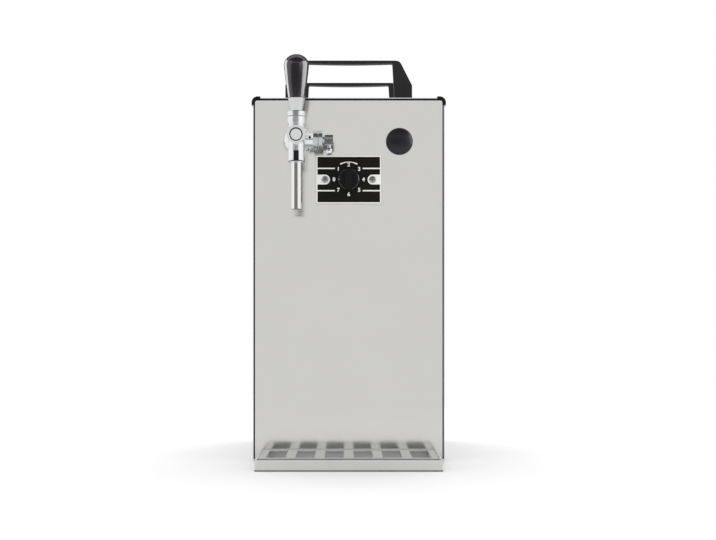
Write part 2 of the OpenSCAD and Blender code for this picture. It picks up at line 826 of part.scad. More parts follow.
module handle_screws() {
    color("#a5a6a7") for (y = grip_ys, sx = [-1, 1])
        translate([sx * grip_leg_x, y, cover_top_in]) {
            rod_z(grip_screw_head_r, -grip_screw_head_h, 0);
            rod_z(grip_screw_r, -grip_screw_head_h / 2, sheet_t + grip_screw_in - grip_tip_gap);
        }
}

module blanking_plug() {
    lip_gap = 0.3;
    rim = 1;
    neck = plug_hole_r - sheet_gap;
    wall = 2;
    barb = 0.4;
    barb_back = 0.6;
    reach = 5;
    dome = [for (i = [0 : 10]) let (a = 90 * i / 10) [plug_r * cos(a), rim + (plug_h - rim) * sin(a)]];
    snap = [[neck - wall, rim / 2], [neck, rim / 2], [neck, -panel_t - lip_gap],
        [plug_hole_r + barb, -panel_t - lip_gap - barb_back], [neck, -panel_t - reach],
        [neck - wall, -panel_t - reach]];
    color("#19191b") translate([tap_dx, front_y, tap_z]) forward() {
        rotate_extrude() polygon(concat([[0, 0], [plug_r, 0]], dome));
        rotate_extrude() polygon(snap);
    }
}

// Tap

module tap_flange() {
    edge = 2.2;
    step = 0.4;
    bore = shank_r + push_gap;
    color("#d3d5d7") at_tap() forward() rotate_extrude()
        polygon([[bore, 0], [flange_r, 0], [flange_r, edge], [coupling_r - step, flange_t],
            [bore, flange_t]]);
}

module tap_shank() {
    color("#cfd1d3") at_tap() difference() {
        rod_y(shank_r, -barrel_y0, shank_in);
        rod_y(shank_bore_r, -barrel_y0 - cut, shank_in + cut);
    }
}

module shank_nut() {
    nut_t = 6;
    nut_wall = 5;
    color("#b08d57") at_tap() difference() {
        translate([0, panel_t, 0]) rotate([-90, 0, 0]) cylinder(r = shank_r + nut_wall, h = nut_t, $fn = 6);
        rod_y(shank_r + push_gap, 0, panel_t + nut_t + cut);
    }
}

module coupling_nut() {
    flutes = 8;
    flute_r = 2;
    land = 2;
    color("#d3d5d7") at_tap() difference() {
        rod_y(coupling_r, -flange_t - coupling_l, -flange_t);
        rod_y(shank_r + push_gap, -flange_t - coupling_l - cut, -flange_t + cut);
        for (i = [0 : flutes - 1])
            rotate([0, 360 * (i + 0.5) / flutes, 0]) translate([coupling_r + flute_r / 2, 0, 0])
                rod_y(flute_r, -flange_t - coupling_l - cut, -flange_t - land);
    }
}

// Solid dome about the lever's pivot, cut off at the collar's radius
module bonnet() {
    edge = asin(collar_r / dome_r);
    dome = [for (i = [0 : 8]) let (a = edge * (1 - i / 8)) [dome_r * sin(a), pivot_up + dome_r * cos(a)]];
    rotate_extrude() polygon(concat([[0, neck_top], [collar_r, neck_top]], dome));
}

module tap_body() {
    window_w = 4.7;
    window_low = 22.5;
    window_high = 13.9;
    window_depth = 2;
    grub_r = 1.2;
    grub_in = 3;
    grub_up = 2;
    grub_depth = 2.5;
    back_wall = 3;
    blind_in = 1.4;
    blind = barrel_bore_r + blind_in;
    color("#d8dadc") at_tap() difference() {
        union() {
            rod_y(barrel_r, -barrel_y1, -barrel_y0);
            at_spout() {
                rod_z(neck_r, 0, pivot_up);
                bonnet();
                rod_z(socket_r, -socket_l, 0);
            }
            at_compensator() rod_x(branch_r, 0, branch_l);
        }
        rod_y(barrel_bore_r, -barrel_y1 - cut, -barrel_y0 - back_wall);
        rod_y(shank_bore_r, -barrel_y0 - back_wall - cut, -barrel_y0 + cut);
        at_spout() {
            rod_z(bonnet_bore_r, 0, pivot_up + dome_r + cut);
            rod_z(spout_r + push_gap, -socket_l - cut, -socket_in);
            rod_z(spout_r - spout_wall, -socket_in - cut, 0);
            block(-window_w / 2, window_w / 2, -socket_r - cut, -socket_r + window_depth,
                -window_low, -window_high);
            translate([0, 0, pivot_up]) rod_x(pivot_r + push_gap, -collar_r - cut, collar_r + cut);
        }
        at_compensator() {
            rod_x(spindle_r + run_gap, -blind, branch_l + cut);
            translate([branch_l - grub_in, 0, grub_up])
                rod_y(grub_r, -branch_r - cut, -branch_r + grub_depth);
        }
    }
}

module tap_front_cap() {
    recess = 0.8;
    edge = 2.4;
    spigot = 1;
    color("#d8dadc") at_tap() difference() {
        union() {
            rod_y(barrel_r, -barrel_y1 - cap_disc_t, -barrel_y1);
            rod_y(barrel_bore_r - push_gap, -barrel_y1 - spigot, -barrel_y1 + spigot);
        }
        rod_y(barrel_r - edge, -barrel_y1 - cap_disc_t - cut, -barrel_y1 - cap_disc_t + recess);
    }
}

module spout_tube() {
    seat_gap = 0.1;
    color("#d0d2d3") at_tap() at_spout() difference() {
        rod_z(spout_r, -spout_l, -socket_in - seat_gap);
        rod_z(spout_r - spout_wall, -spout_l - cut, 0);
    }
}

module lever_pivot_pin() {
    end_in = 0.5;
    half_l = collar_r - end_in;
    color("#b9babb") at_tap() at_spout() translate([0, 0, pivot_up])
        rod_x(pivot_r, -half_l, half_l);
}

module lever_stem() {
    color("#b9babb") at_tap() at_spout() difference() {
        union() {
            rod_z(stem_r, pivot_up, knob_z + stem_in_knob);
            translate([0, 0, pivot_up]) rod_x(hub_r, -hub_half, hub_half);
            rod_z(arm_r, 0, pivot_up);
            sphere(r = ball_r);
        }
        translate([0, 0, pivot_up]) rod_x(pivot_r + run_gap, -hub_half - cut, hub_half + cut);
    }
}

module lever_collar() {
    bore = stem_r + push_gap;
    crown_in = 0.4;
    crown_r = ferrule_foot_r - crown_in;
    r = dome_r + dome_gap;
    a0 = asin(bore / r);
    a1 = asin(collar_r / r);
    under = [for (i = [0 : 8]) let (a = a0 + (a1 - a0) * i / 8) [r * sin(a), pivot_up + r * cos(a)]];
    color("#d8dadc") at_tap() at_spout() rotate_extrude()
        polygon(concat(under, [[collar_r, collar_top], [crown_r, collar_top],
            [crown_r, ferrule_z], [bore, ferrule_z]]));
}

module lever_ferrule() {
    edge = 0.1;
    color("#d8dadc") at_tap() at_spout() difference() {
        translate([0, 0, ferrule_z]) cylinder(r1 = ferrule_foot_r, r2 = knob_foot_r + edge, h = ferrule_h);
        rod_z(stem_r + push_gap, ferrule_z - cut, knob_z + cut);
    }
}

module lever_knob() {
    widest = knob_h * 0.75;
    swell = 1.2;
    tip_gap = 0.2;
    side = bend_pts([knob_foot_r, 0], [knob_r - swell, widest * 0.55], [knob_r, widest], 8);
    crown = [for (i = [1 : 9]) let (a = 90 * i / 9) [knob_r * cos(a), widest + (knob_h - widest) * sin(a)]];
    color("#151416") at_tap() at_spout() difference() {
        translate([0, 0, knob_z]) rotate_extrude() polygon(concat([[0, 0]], side, crown));
        rod_z(stem_r + push_gap, knob_z - cut, knob_z + stem_in_knob + tip_gap);
    }
}

// Middles of the plunger's two seal grooves, in front of the panel
o_ring_ts = [for (i = [0, 1]) valve_y0 + o_ring_first + i * o_ring_pitch];

module valve_plunger() {
    ball_side = 0.35;
    ball_play = 0.5;
    ball_under = 0.9;
    ball_over = 0.2;
    slot_x = ball_r + ball_side;
    slot_y = ball_r + ball_play;
    slot_under = ball_r + ball_under;
    slot_step = ball_r + ball_over;
    slot_top_y = 3.9;
    color("#c3c5c7") at_tap() difference() {
        rod_y(plunger_r, -valve_y1, -valve_y0);
        at_spout() {
            block(-slot_x, slot_x, -slot_y, slot_y, -slot_under, barrel_bore_r + cut);
            block(-slot_x, slot_x, -slot_top_y, slot_top_y, slot_step, barrel_bore_r + cut);
        }
        for (t = o_ring_ts) difference() {
            rod_y(plunger_r + cut, -t - o_ring_w / 2, -t + o_ring_w / 2);
            rod_y(plunger_r - o_ring_depth, -t - o_ring_w, -t + o_ring_w);
        }
    }
}

module plunger_o_rings() {
    side_gap = 0.05;
    proud = 0.02;
    color("#111111") at_tap() for (t = o_ring_ts) difference() {
        rod_y(plunger_r + proud, -t - o_ring_w / 2 + side_gap, -t + o_ring_w / 2 - side_gap);
        rod_y(plunger_r - o_ring_depth + proud, -t - o_ring_w, -t + o_ring_w);
    }
}

// Compensator

module compensator_housing() {
    groove = 0.7;
    root = 0.5;
    color("#d3d5d7") at_tap() at_compensator() difference() {
        union() {
            rod_x(comp_r, branch_l, comp_end);
            rod_x(comp_ring_r, comp_end - root, comp_end + comp_ring_l);
        }
        rod_x(spindle_r + run_gap, branch_l - cut, comp_end + comp_ring_l + cut);
        difference() {
            rod_x(comp_r + cut, branch_l + comp_l * 0.45, branch_l + comp_l * 0.58);
            rod_x(comp_r - groove, branch_l, comp_end);
        }
    }
}

module compensator_spindle() {
    flat = spindle_r * 0.35;
    past_bore = 1;
    flat_in = 0.6;
    half_l = barrel_bore_r - flat_in;
    past = spindle_r + cut;
    color("#b9babb") at_tap() at_compensator() difference() {
        rod_x(spindle_r, -barrel_bore_r - past_bore, comp_knob_x1 - comp_knob_end);
        block(-half_l, half_l, flat, past, -past, past);
        block(-half_l, half_l, -past, -flat, -past, past);
    }
}

module compensator_knob() {
    teeth = 24;
    tooth = 0.5;
    outline = [for (i = [0 : 2 * teeth - 1]) let (a = 180 * i / teeth, r = comp_knob_r - (i % 2) * tooth)
        [r * cos(a), r * sin(a)]];
    color("#6f7072") at_tap() at_compensator() difference() {
        along_x(comp_knob_x0, comp_knob_x1) polygon(outline);
        rod_x(spindle_r + press_gap, comp_knob_x0 - cut, comp_knob_x1 - comp_knob_end);
        translate([(comp_knob_x0 + comp_knob_x1) / 2, 0, 0])
            rod_z(lever_pin_r + push_gap, -comp_knob_r - cut, -comp_knob_r + lever_pin_in);
    }
}

module compensator_lever() {
    color("#d8dadc") at_tap() at_compensator() translate([(comp_knob_x0 + comp_knob_x1) / 2, 0, 0]) {
        rod_z(lever_pin_r, -comp_lever_l, -comp_knob_r + lever_pin_in - lever_pin_gap);
        translate([0, 0, -comp_lever_l]) sphere(r = lever_ball_r);
    }
}

// Thermostat

module at_scale() {
    translate([0, front_y, scale_z]) children();
}

module thermostat_plate() {
    color("#161616") at_scale() difference() {
        block(-scale_w / 2, scale_w / 2, -scale_t, 0, -scale_h / 2, scale_h / 2);
        rod_y(dial_boss_r + push_gap, -scale_t - cut, cut);
        for (sx = [-1, 1])
            translate([sx * scale_screw_dx, 0, 0]) rod_y(scale_screw_r + push_gap, -scale_t - cut, cut);
    }
}

module thermostat_screws() {
    head_r = 3.2;
    head_h = 1.6;
    edge = 0.4;
    recess = 0.9;
    cross_half = 2;
    cross_t = 0.45;
    crown = [for (i = [0 : 5]) let (a = 18 * i) [head_r * cos(a), edge + (head_h - edge) * sin(a)]];
    color("#b9babb") at_scale() for (sx = [-1, 1])
        translate([sx * scale_screw_dx, -scale_t, 0]) difference() {
            union() {
                forward() rotate_extrude() polygon(concat([[0, 0], [head_r, 0]], crown));
                rod_y(scale_screw_r, -edge, scale_t + panel_t + scale_screw_in);
            }
            block(-cross_half, cross_half, -head_h - cut, -head_h + recess, -cross_t, cross_t);
            block(-cross_t, cross_t, -head_h - cut, -head_h + recess, -cross_half, cross_half);
        }
}

module thermostat_housing() {
    ear_t = 3;
    ear_half_h = 7;
    ear_past = 5;
    ear_x = scale_screw_dx + ear_past;
    shaft_room = 2;
    shaft_end = dial_shaft_in + shaft_room;
    color("#d9d6cc") difference() {
        union() {
            block(-thermo_w / 2, thermo_w / 2, thermo_y0, thermo_y1,
                scale_z - thermo_h / 2, scale_z + thermo_h / 2);
            block(-ear_x, ear_x, thermo_y0, thermo_y0 + ear_t, scale_z - ear_half_h, scale_z + ear_half_h);
            at_scale() rod_y(dial_boss_r, -scale_t, panel_t + ear_t);
        }
        at_scale() rod_y(dial_shaft_r + run_gap, -scale_t - cut, panel_t + shaft_end);
        for (sx = [-1, 1])
            at_scale() translate([sx * scale_screw_dx, 0, 0])
                rod_y(scale_screw_r + push_gap, 0, panel_t + scale_screw_in + scale_tip_gap);
    }
}

// The knob's face stands dial_gap off the plate, and the shaft reaches into the knob
dial_back = -scale_t - dial_gap;
shaft_in_knob = 8;

module thermostat_shaft() {
    color("#b9babb") at_scale() rod_y(dial_shaft_r, dial_back - shaft_in_knob, panel_t + dial_shaft_in);
}

module thermostat_knob() {
    skirt_h = 3.5;
    bevel = 0.8;
    bar_w = 6.4;
    bar_in = 0.4;
    tip_gap = 0.1;
    skirt = [[0, 0], [dial_r, 0], [dial_r, skirt_h - bevel], [dial_r - bevel, skirt_h], [0, skirt_h]];
    color("#141414") at_scale() translate([0, dial_back, 0]) difference() {
        union() {
            forward() rotate_extrude() polygon(skirt);
            intersection() {
                rod_y(dial_r - bar_in, -dial_h, -skirt_h / 2);
                block(-bar_w / 2, bar_w / 2, -dial_h - cut, 0, -dial_r, dial_r);
            }
        }
        rod_y(dial_shaft_r + press_gap, -shaft_in_knob - tip_gap, cut);
    }
}

module capillary_tube() {
    color("#b87333") swept(capillary_path, capillary_r, 8);
}

module sensing_bulb() {
    color("#b87333") translate([0, core_y, 0]) rod_z(bulb_r, bulb_z0, bulb_z1);
}

// Drip tray

module drip_tray() {
    lip_t = 1;
    color("#c2c3c1") difference() {
        block(-tray_w / 2, tray_w / 2, tray_y0, tray_y1, 0, tray_h);
        block(-tray_w / 2 + tray_t, tray_w / 2 - tray_t, tray_y0 + tray_t, tray_y1 - tray_t,
            tray_t, tray_h - lip_t);
        block(-tray_w / 2 + rim_w, tray_w / 2 - rim_w, tray_y0 + rim_w, tray_y1 - rim_w,
            tray_t, tray_h + cut);
    }
}

module drip_grille() {
    leg_edge = 0.5;
    leg_in = grille_leg_r + leg_edge;
    color("#babbb9") {
        difference() {
            block(-grille_half_w, grille_half_w, grille_y0, grille_y1, grille_top - grille_t, grille_top);
            for (i = [0 : slots - 1])
                translate([(i - (slots - 1) / 2) * slot_pitch, 0, 0])
                    block(-slot_w / 2, slot_w / 2, grille_y0 + slot_edge, grille_y1 - slot_edge,
                        0, tray_h + cut);
        }
        for (sx = [-1, 1], y = [grille_y0 + leg_in, grille_y1 - leg_in])
            translate([sx * (grille_half_w - leg_in), y, 0])
                rod_z(grille_leg_r, tray_t + tray_gap / 2, grille_top - grille_t / 2);
    }
}

// Cooling block

module block_shelf() {
    flange = 12;
    half = in_half_w - sheet_gap;
    pipe_hole = 5.5;
    color("#9a9c9c") difference() {
        union() {
            block(-half, half, shelf_y0, shelf_y1, shelf_z, shelf_z + panel_t);
            for (sx = [-1, 1])
                translate([sx * (half - panel_t / 2) - panel_t / 2, shelf_y0, shelf_z - flange])
                    cube([panel_t, shelf_y1 - shelf_y0, flange + panel_t]);
        }
        translate([evap_coil_r, suction_y, 0]) rod_z(pipe_hole, shelf_z - cut, shelf_z + panel_t + cut);
        translate([-evap_coil_r, drop_y, 0]) rod_z(pipe_hole, shelf_z - cut, shelf_z + panel_t + cut);
    }
}

module insulation_box() {
    pipe_room = 1.5;
    beer_room = 1.2;
    pipe = evap_tube_r + pipe_room;
    beer = beer_tube_r + beer_room;
    color("#e6e2d2") difference() {
        block(-foam_half, foam_half, foam_y0, foam_y1, foam_z0, foam_top);
        translate([0, core_y, 0]) rod_z(foam_bore_r, foam_floor, foam_top + cut);
        block(tap_x - beer - cut, -beer_coil_r + beer, foam_y0 - cut, core_y, coil_z1 - beer, foam_top + cut);
        for (p = [[-beer_coil_r, coil_z0, beer], [-evap_coil_r, evap_z0, pipe], [evap_coil_r, evap_z1, pipe]])
            block(p[0] - p[2], p[0] + p[2], core_y, foam_y1 + cut, p[1] - p[2], p[1] + p[2]);
    }
}

module insulation_lid() {
    step_gap = 0.5;
    hole_gap = 0.8;
    color("#e6e2d2") difference() {
        union() {
            block(-foam_half, foam_half, foam_y0, foam_y1, foam_top, lid_top);
            translate([0, core_y, 0]) rod_z(foam_bore_r - step_gap, foam_top - lid_in, foam_top + lid_in);
        }
        translate([0, core_y, 0]) rod_z(capillary_r + hole_gap, foam_top - lid_in - cut, lid_top + cut);
    }
}

module cooling_core() {
    color("#b3b6b8") translate([0, core_y, 0]) difference() {
        rod_z(core_r, foam_floor, core_top);
        rod_z(bulb_r + bulb_gap, bulb_z0 - bulb_gap, core_top + cut);
    }
}

module beer_coil() {
    color("#c9cbcc") swept(beer_path, beer_tube_r, 6);
}

module evaporator_coil() {
    color("#b87333") swept(evap_path, evap_tube_r, 6);
}

module filter_drier() {
    neck = 3;
    color("#b87333") translate([-evap_coil_r, 0, evap_z0]) {
        rod_y(drier_r, drier_y0 + neck, drier_y1);
        rod_y(drier_r - neck, drier_y0, drier_y0 + 2 * neck);
    }
}

// Refrigerant set

module compressor() {
    dome_h = 26;
    foot_edge = 1;
    foot = grommet_off + grommet_r + foot_edge;
    wall_z = shell_z0 + comp_shell_h - dome_h;
    profile = concat([[0, shell_z0], [comp_shell_r, shell_z0]],
        [for (i = [0 : 8]) let (a = 90 * i / 8) [comp_shell_r * cos(a), wall_z + dome_h * sin(a)]]);
    pipe_wall = 1.5;
    pipe_r = evap_tube_r + pipe_wall;
    color("#17181a") translate([0, compressor_y, 0]) {
        rotate_extrude() polygon(profile);
        block(-foot, foot, -foot, foot, base_top + grommet_h, shell_z0 + foot_plate_t / 3);
        translate([evap_coil_r, 0, suction_z]) rod_y(pipe_r, 0, comp_shell_r + pipe_stub);
        translate([-discharge_x, 0, discharge_z]) rod_y(pipe_r, 0, comp_shell_r + pipe_stub);
    }
}

module compressor_grommets() {
    color("#202020") for (sx = [-1, 1], sy = [-1, 1])
        translate([sx * grommet_off, compressor_y + sy * grommet_off, 0])
            rod_z(grommet_r, base_top, base_top + grommet_h);
}

module discharge_pipe() {
    color("#b87333") translate([-discharge_x, 0, discharge_z]) rod_y(evap_tube_r, suction_end_y, cond_y0);
}

module condenser() {
    fin_t = 1.2;
    plate_t = 2;
    rows = 5;
    tube_r = 3;
    fin_in = 2;
    fin_up = 4;
    row_up = 14;
    drop_step = 0.4;
    drop_in = 18;
    drier_gap = 0.2;
    step = 2 * (cond_half_w - plate_t) / (fin_count + 1);
    color("#8d9092") {
        for (sx = [-1, 1])
            translate([sx * (cond_half_w - plate_t / 2) - plate_t / 2, cond_y0, cond_z0])
                cube([plate_t, cond_d, cond_z1 - cond_z0]);
        for (i = [1 : fin_count])
            translate([-cond_half_w + plate_t + i * step - fin_t / 2, cond_y0 + fin_in, cond_z0 + fin_up])
                cube([fin_t, cond_d - 2 * fin_in, cond_z1 - cond_z0 - 2 * fin_up]);
        for (i = [0 : rows - 1])
            translate([0, drop_y, cond_z0 + row_up + i * (cond_z1 - cond_z0 - 2 * row_up) / (rows - 1)])
                rod_x(tube_r, -cond_half_w, cond_half_w);
        translate([-discharge_x, 0, discharge_z]) rod_y(evap_tube_r, cond_y0, drop_y);
        translate([-evap_coil_r, drop_y, 0])
            rod_z(tube_r - drop_step, cond_z1 - drop_in, evap_z0 - drier_r - drier_gap);
    }
}

// The fan's motor stands on bars across the shroud's opening
motor_r = 15;
motor_l = 9;
rotor_gap = 1;
blade_gap = 2;
shaft_r = 2;

module fan_shroud() {
    ring_l = 16;
    ring_t = 2;
    bar = 8;
    hole_r = fan_r + blade_gap;
    color("#1a1a1a") translate([0, cond_y1, fan_z]) difference() {
        union() {
            difference() {
                union() {
                    block(-cond_half_w, cond_half_w, 0, shroud_t, cond_z0 - fan_z, cond_z1 - fan_z);
                    rod_y(hole_r + ring_t, 0, ring_l);
                }
                rod_y(hole_r, -cut, ring_l + cut);
            }
            block(-hole_r - ring_t / 2, hole_r + ring_t / 2, 0, shroud_t, -bar / 2, bar / 2);
            block(-bar / 2, bar / 2, 0, shroud_t, -hole_r - ring_t / 2, hole_r + ring_t / 2);
            rod_y(motor_r, 0, motor_l);
        }
        rod_y(shaft_r + run_gap, shroud_t, motor_l + cut);
    }
}

module fan_rotor() {
    hub_l = 9;
    hub_step = 1;
    end_gap = 0.5;
    root = 2;
    hub_y = motor_l + rotor_gap;
    blade_t = 1.6;
    chord = 17;
    pitch = 32;
    color("#262626") translate([0, cond_y1, fan_z]) {
        rod_y(motor_r + hub_step, hub_y, hub_y + hub_l);
        rod_y(shaft_r, shroud_t + end_gap, hub_y + rotor_gap);
        for (i = [0 : fan_blades - 1])
            rotate([0, 360 * i / fan_blades, 0]) translate([motor_r - root, hub_y + hub_l / 2, 0])
                rotate([pitch, 0, 0]) translate([0, -blade_t / 2, -chord / 2])
                    cube([fan_r - motor_r + root, blade_t, chord]);
    }
}

module air_pump() {
    head_r = 11;
    head_h = 9;
    head_inset = 15;
    root = 1;
    color("#2b2d30") translate([air_out_xz[0], 0, foam_z0]) {
        block(-pump_half_w, pump_half_w, pump_y0, pump_y1, 0, pump_h);
        for (y = [pump_y0 + head_inset, pump_y1 - head_inset])
            translate([0, y, 0]) rod_z(head_r, pump_h - root, pump_h + head_h);
        translate([0, 0, air_out_xz[1] - foam_z0]) rod_y(air_stub_r, pump_y1 - root, pump_y1 + pump_port_l);
    }
}

// Rear fittings

// Hose stub through the rear panel, with its hexagon outside and a nut inside
module hose_stub(xz, r, inner_y) {
    nut_t = 5;
    hex_h = stub_l - stub_smooth;
    translate([xz[0], rear_y, xz[1]]) difference() {
        union() {
            rod_y(r, inner_y - rear_y, stub_l);
            rotate([-90, 0, 0]) cylinder(r = stub_hex_r, h = hex_h, $fn = 6);
            translate([0, -panel_t - nut_t, 0]) rotate([-90, 0, 0])
                cylinder(r = stub_hex_r, h = nut_t, $fn = 6);
        }
        rod_y(stub_bore_r, inner_y - rear_y - cut, stub_l + cut);
    }
}

module beer_inlet() {
    color("#c9cbcc") hose_stub(beer_in_xz, beer_stub_r, beer_in_y);
}

module air_outlet() {
    color("#b08d57") hose_stub(air_out_xz, air_stub_r, pump_y1 + pump_port_l + port_gap);
}

module power_inlet() {
    flange = 2;
    body_l = 22;
    cavity_l = 17;
    wall = 1.8;
    lip = 2.5;
    root = 1;
    pin_w = 2;
    pin_l = 11;
    pin_h = 4;
    pin_dx = 7;
    pin_dz = 2;
    lip_w = inlet_w / 2 + lip;
    lip_h = inlet_h / 2 + lip;
    color("#1b1b1b") translate([inlet_xz[0], rear_y, inlet_xz[1]]) {
        difference() {
            union() {
                block(-lip_w, lip_w, 0, flange, -lip_h, lip_h);
                block(-inlet_w / 2, inlet_w / 2, -body_l, flange / 2, -inlet_h / 2, inlet_h / 2);
            }
            block(-inlet_w / 2 + wall, inlet_w / 2 - wall, flange - cavity_l, flange + cut,
                -inlet_h / 2 + wall, inlet_h / 2 - wall);
        }
        for (p = [[-pin_dx, -pin_dz], [0, pin_dz], [pin_dx, -pin_dz]])
            translate([p[0] - pin_w / 2, flange - cavity_l - root, p[1] - pin_h / 2])
                cube([pin_w, pin_l, pin_h]);
    }
}

// Rocker switches: the axle lies just under the panel's face
rocker_axle_y = -1.5;
rocker_axle_in = 1.2;
rocker_axle_room = 0.4;

module switch_frames() {
    flange = 2;
    body_l = 14;
    pocket = 13;
    axle_reach = rocker_w / 2 + rocker_axle_in + rocker_axle_room;
    shell_w = frame_w / 2 - frame_lip;
    shell_h = frame_h / 2 - frame_lip;
    color("#1b1b1b") for (p = rocker_xz)
        translate([p[0], rear_y, p[1]]) difference() {
            union() {
                block(-frame_w / 2, frame_w / 2, 0, flange, -frame_h / 2, frame_h / 2);
                block(-shell_w, shell_w, -body_l, flange / 2, -shell_h, shell_h);
            }
            block(-rocker_w / 2 - rocker_gap, rocker_w / 2 + rocker_gap, flange - pocket, flange + cut,
                -rocker_h / 2 - rocker_gap, rocker_h / 2 + rocker_gap);
            translate([0, rocker_axle_y, 0]) rod_x(rocker_axle_r + run_gap, -axle_reach, axle_reach);
        }
}

// Rocker with its upper half pressed in
module rocker(p) {
    face = 3;
    dip = 1.4;
    back = 2.5;
    axle_half = rocker_w / 2 + rocker_axle_in;
    color("#222222") translate([p[0], rear_y + rocker_axle_y, p[1]]) {
        rotate([rocker_throw / 2, 0, 0]) along_x(-rocker_w / 2, rocker_w / 2) intersection() {
            polygon([[-back, -rocker_h], [face + dip * 2, -rocker_h], [face, 0], [face + dip * 2, rocker_h],
                [-back, rocker_h]]);
            circle(r = rocker_h / 2);
        }
        rod_x(rocker_axle_r, -axle_half, axle_half);
    }
}

module cooling_switch() {
    rocker(rocker_xz[0]);
}

module pump_switch() {
    rocker(rocker_xz[1]);
}

base_pan();
rubber_feet();
feet_screws();
front_panel();
front_edge_trim();
wrap_cover();
rear_panel();
rear_panel_screws();
corner_caps();
front_carry_handle();
rear_carry_handle();
handle_screws();
blanking_plug();
tap_flange();
tap_shank();
shank_nut();
coupling_nut();
tap_body();
tap_front_cap();
spout_tube();
lever_pivot_pin();
lever_stem();
lever_collar();
lever_ferrule();
lever_knob();
valve_plunger();
plunger_o_rings();
compensator_housing();
compensator_spindle();
compensator_knob();
compensator_lever();
thermostat_plate();
thermostat_screws();
thermostat_housing();
thermostat_shaft();
thermostat_knob();
capillary_tube();
sensing_bulb();
drip_tray();
drip_grille();
block_shelf();
insulation_box();
insulation_lid();
cooling_core();
beer_coil();
evaporator_coil();
filter_drier();
compressor();
compressor_grommets();
discharge_pipe();
condenser();
fan_shroud();
fan_rotor();
air_pump();
beer_inlet();
air_outlet();
power_inlet();
switch_frames();
cooling_switch();
pump_switch();
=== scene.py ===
"""Looks of the draft beer dispenser: finishes, painted shade and light, printed scale, small fittings,
studio and camera.
"""
import json
import math

import bmesh
import bpy
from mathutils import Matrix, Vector


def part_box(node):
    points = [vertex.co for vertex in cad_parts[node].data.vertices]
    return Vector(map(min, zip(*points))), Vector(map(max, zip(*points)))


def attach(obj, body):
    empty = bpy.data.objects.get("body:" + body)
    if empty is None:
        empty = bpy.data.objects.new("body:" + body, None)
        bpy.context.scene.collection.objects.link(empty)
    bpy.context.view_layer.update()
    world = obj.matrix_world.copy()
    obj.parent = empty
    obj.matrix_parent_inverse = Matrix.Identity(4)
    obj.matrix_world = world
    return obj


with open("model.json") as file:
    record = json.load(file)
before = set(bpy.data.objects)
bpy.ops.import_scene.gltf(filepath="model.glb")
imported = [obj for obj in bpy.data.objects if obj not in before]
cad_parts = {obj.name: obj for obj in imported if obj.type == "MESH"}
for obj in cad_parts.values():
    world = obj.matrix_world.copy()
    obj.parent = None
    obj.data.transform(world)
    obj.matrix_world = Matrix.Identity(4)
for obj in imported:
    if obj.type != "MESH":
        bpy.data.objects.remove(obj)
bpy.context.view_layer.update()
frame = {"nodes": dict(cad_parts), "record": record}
nodes = frame["nodes"]
scene = bpy.context.scene


def middle(name):
    """Middle of a node's box."""
    low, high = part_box(name)
    return (low + high) / 2


# Places read from the frame, in metres
front_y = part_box("front_panel")[0].y
plate_low, plate_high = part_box("thermostat_plate")
tray_low, tray_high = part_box("drip_tray")
plate_mid = middle("thermostat_plate")
tray_mid = middle("drip_tray")
tap_mid = middle("tap_front_cap")
spout_mid = middle("spout_tube")

# Camera: lengths in metres, places in the photo in pixels
PHOTO_W = 716
PHOTO_H = 540
AXIS_PX = (348.75, 316.0)
PANEL_M_PER_PX = 0.0009344
CAMERA_DISTANCE = 1.43
CAMERA_HEIGHT = 0.136
SENSOR_MM = 36.0


def make_camera():
    """Looks straight along +Y; the shift puts the view axis where the photo has it."""
    focal_px = CAMERA_DISTANCE / PANEL_M_PER_PX
    data = bpy.data.cameras.new("camera")
    data.sensor_width = SENSOR_MM
    data.lens = SENSOR_MM * focal_px / PHOTO_W
    data.shift_x = (PHOTO_W / 2 - AXIS_PX[0]) / PHOTO_W
    data.shift_y = (AXIS_PX[1] - PHOTO_H / 2) / PHOTO_W
    camera = bpy.data.objects.new("camera", data)
    camera.location = (0, front_y - CAMERA_DISTANCE, CAMERA_HEIGHT)
    camera.rotation_euler = (math.radians(90), 0, 0)
    scene.collection.objects.link(camera)
    scene.camera = camera


make_camera()

# Shader values: scales of noise in cycles per metre, depths of bumps in metres
NOISE_SPAN = (0.3, 0.7)
NOISE_ROUGHNESS = 0.55
METAL_CLOUDS = 14.0
METAL_BUMP = 0.0002
LEAST_ROUGHNESS = 0.01
PLASTIC_CLOUDS = 40.0
PLASTIC_CLOUD_DETAIL = 3.0
PLASTIC_BUMP = 0.0001
PLASTIC_GLOSS = (0.9, 1.12)
WHITE = (1, 1, 1, 1)

# Stretch of a metal's grain
EVEN = (1, 1, 1)
ALONG_X = (0.03, 1, 1)
ALONG_Y = (1, 0.03, 1)
ALONG_Z = (1, 1, 0.03)

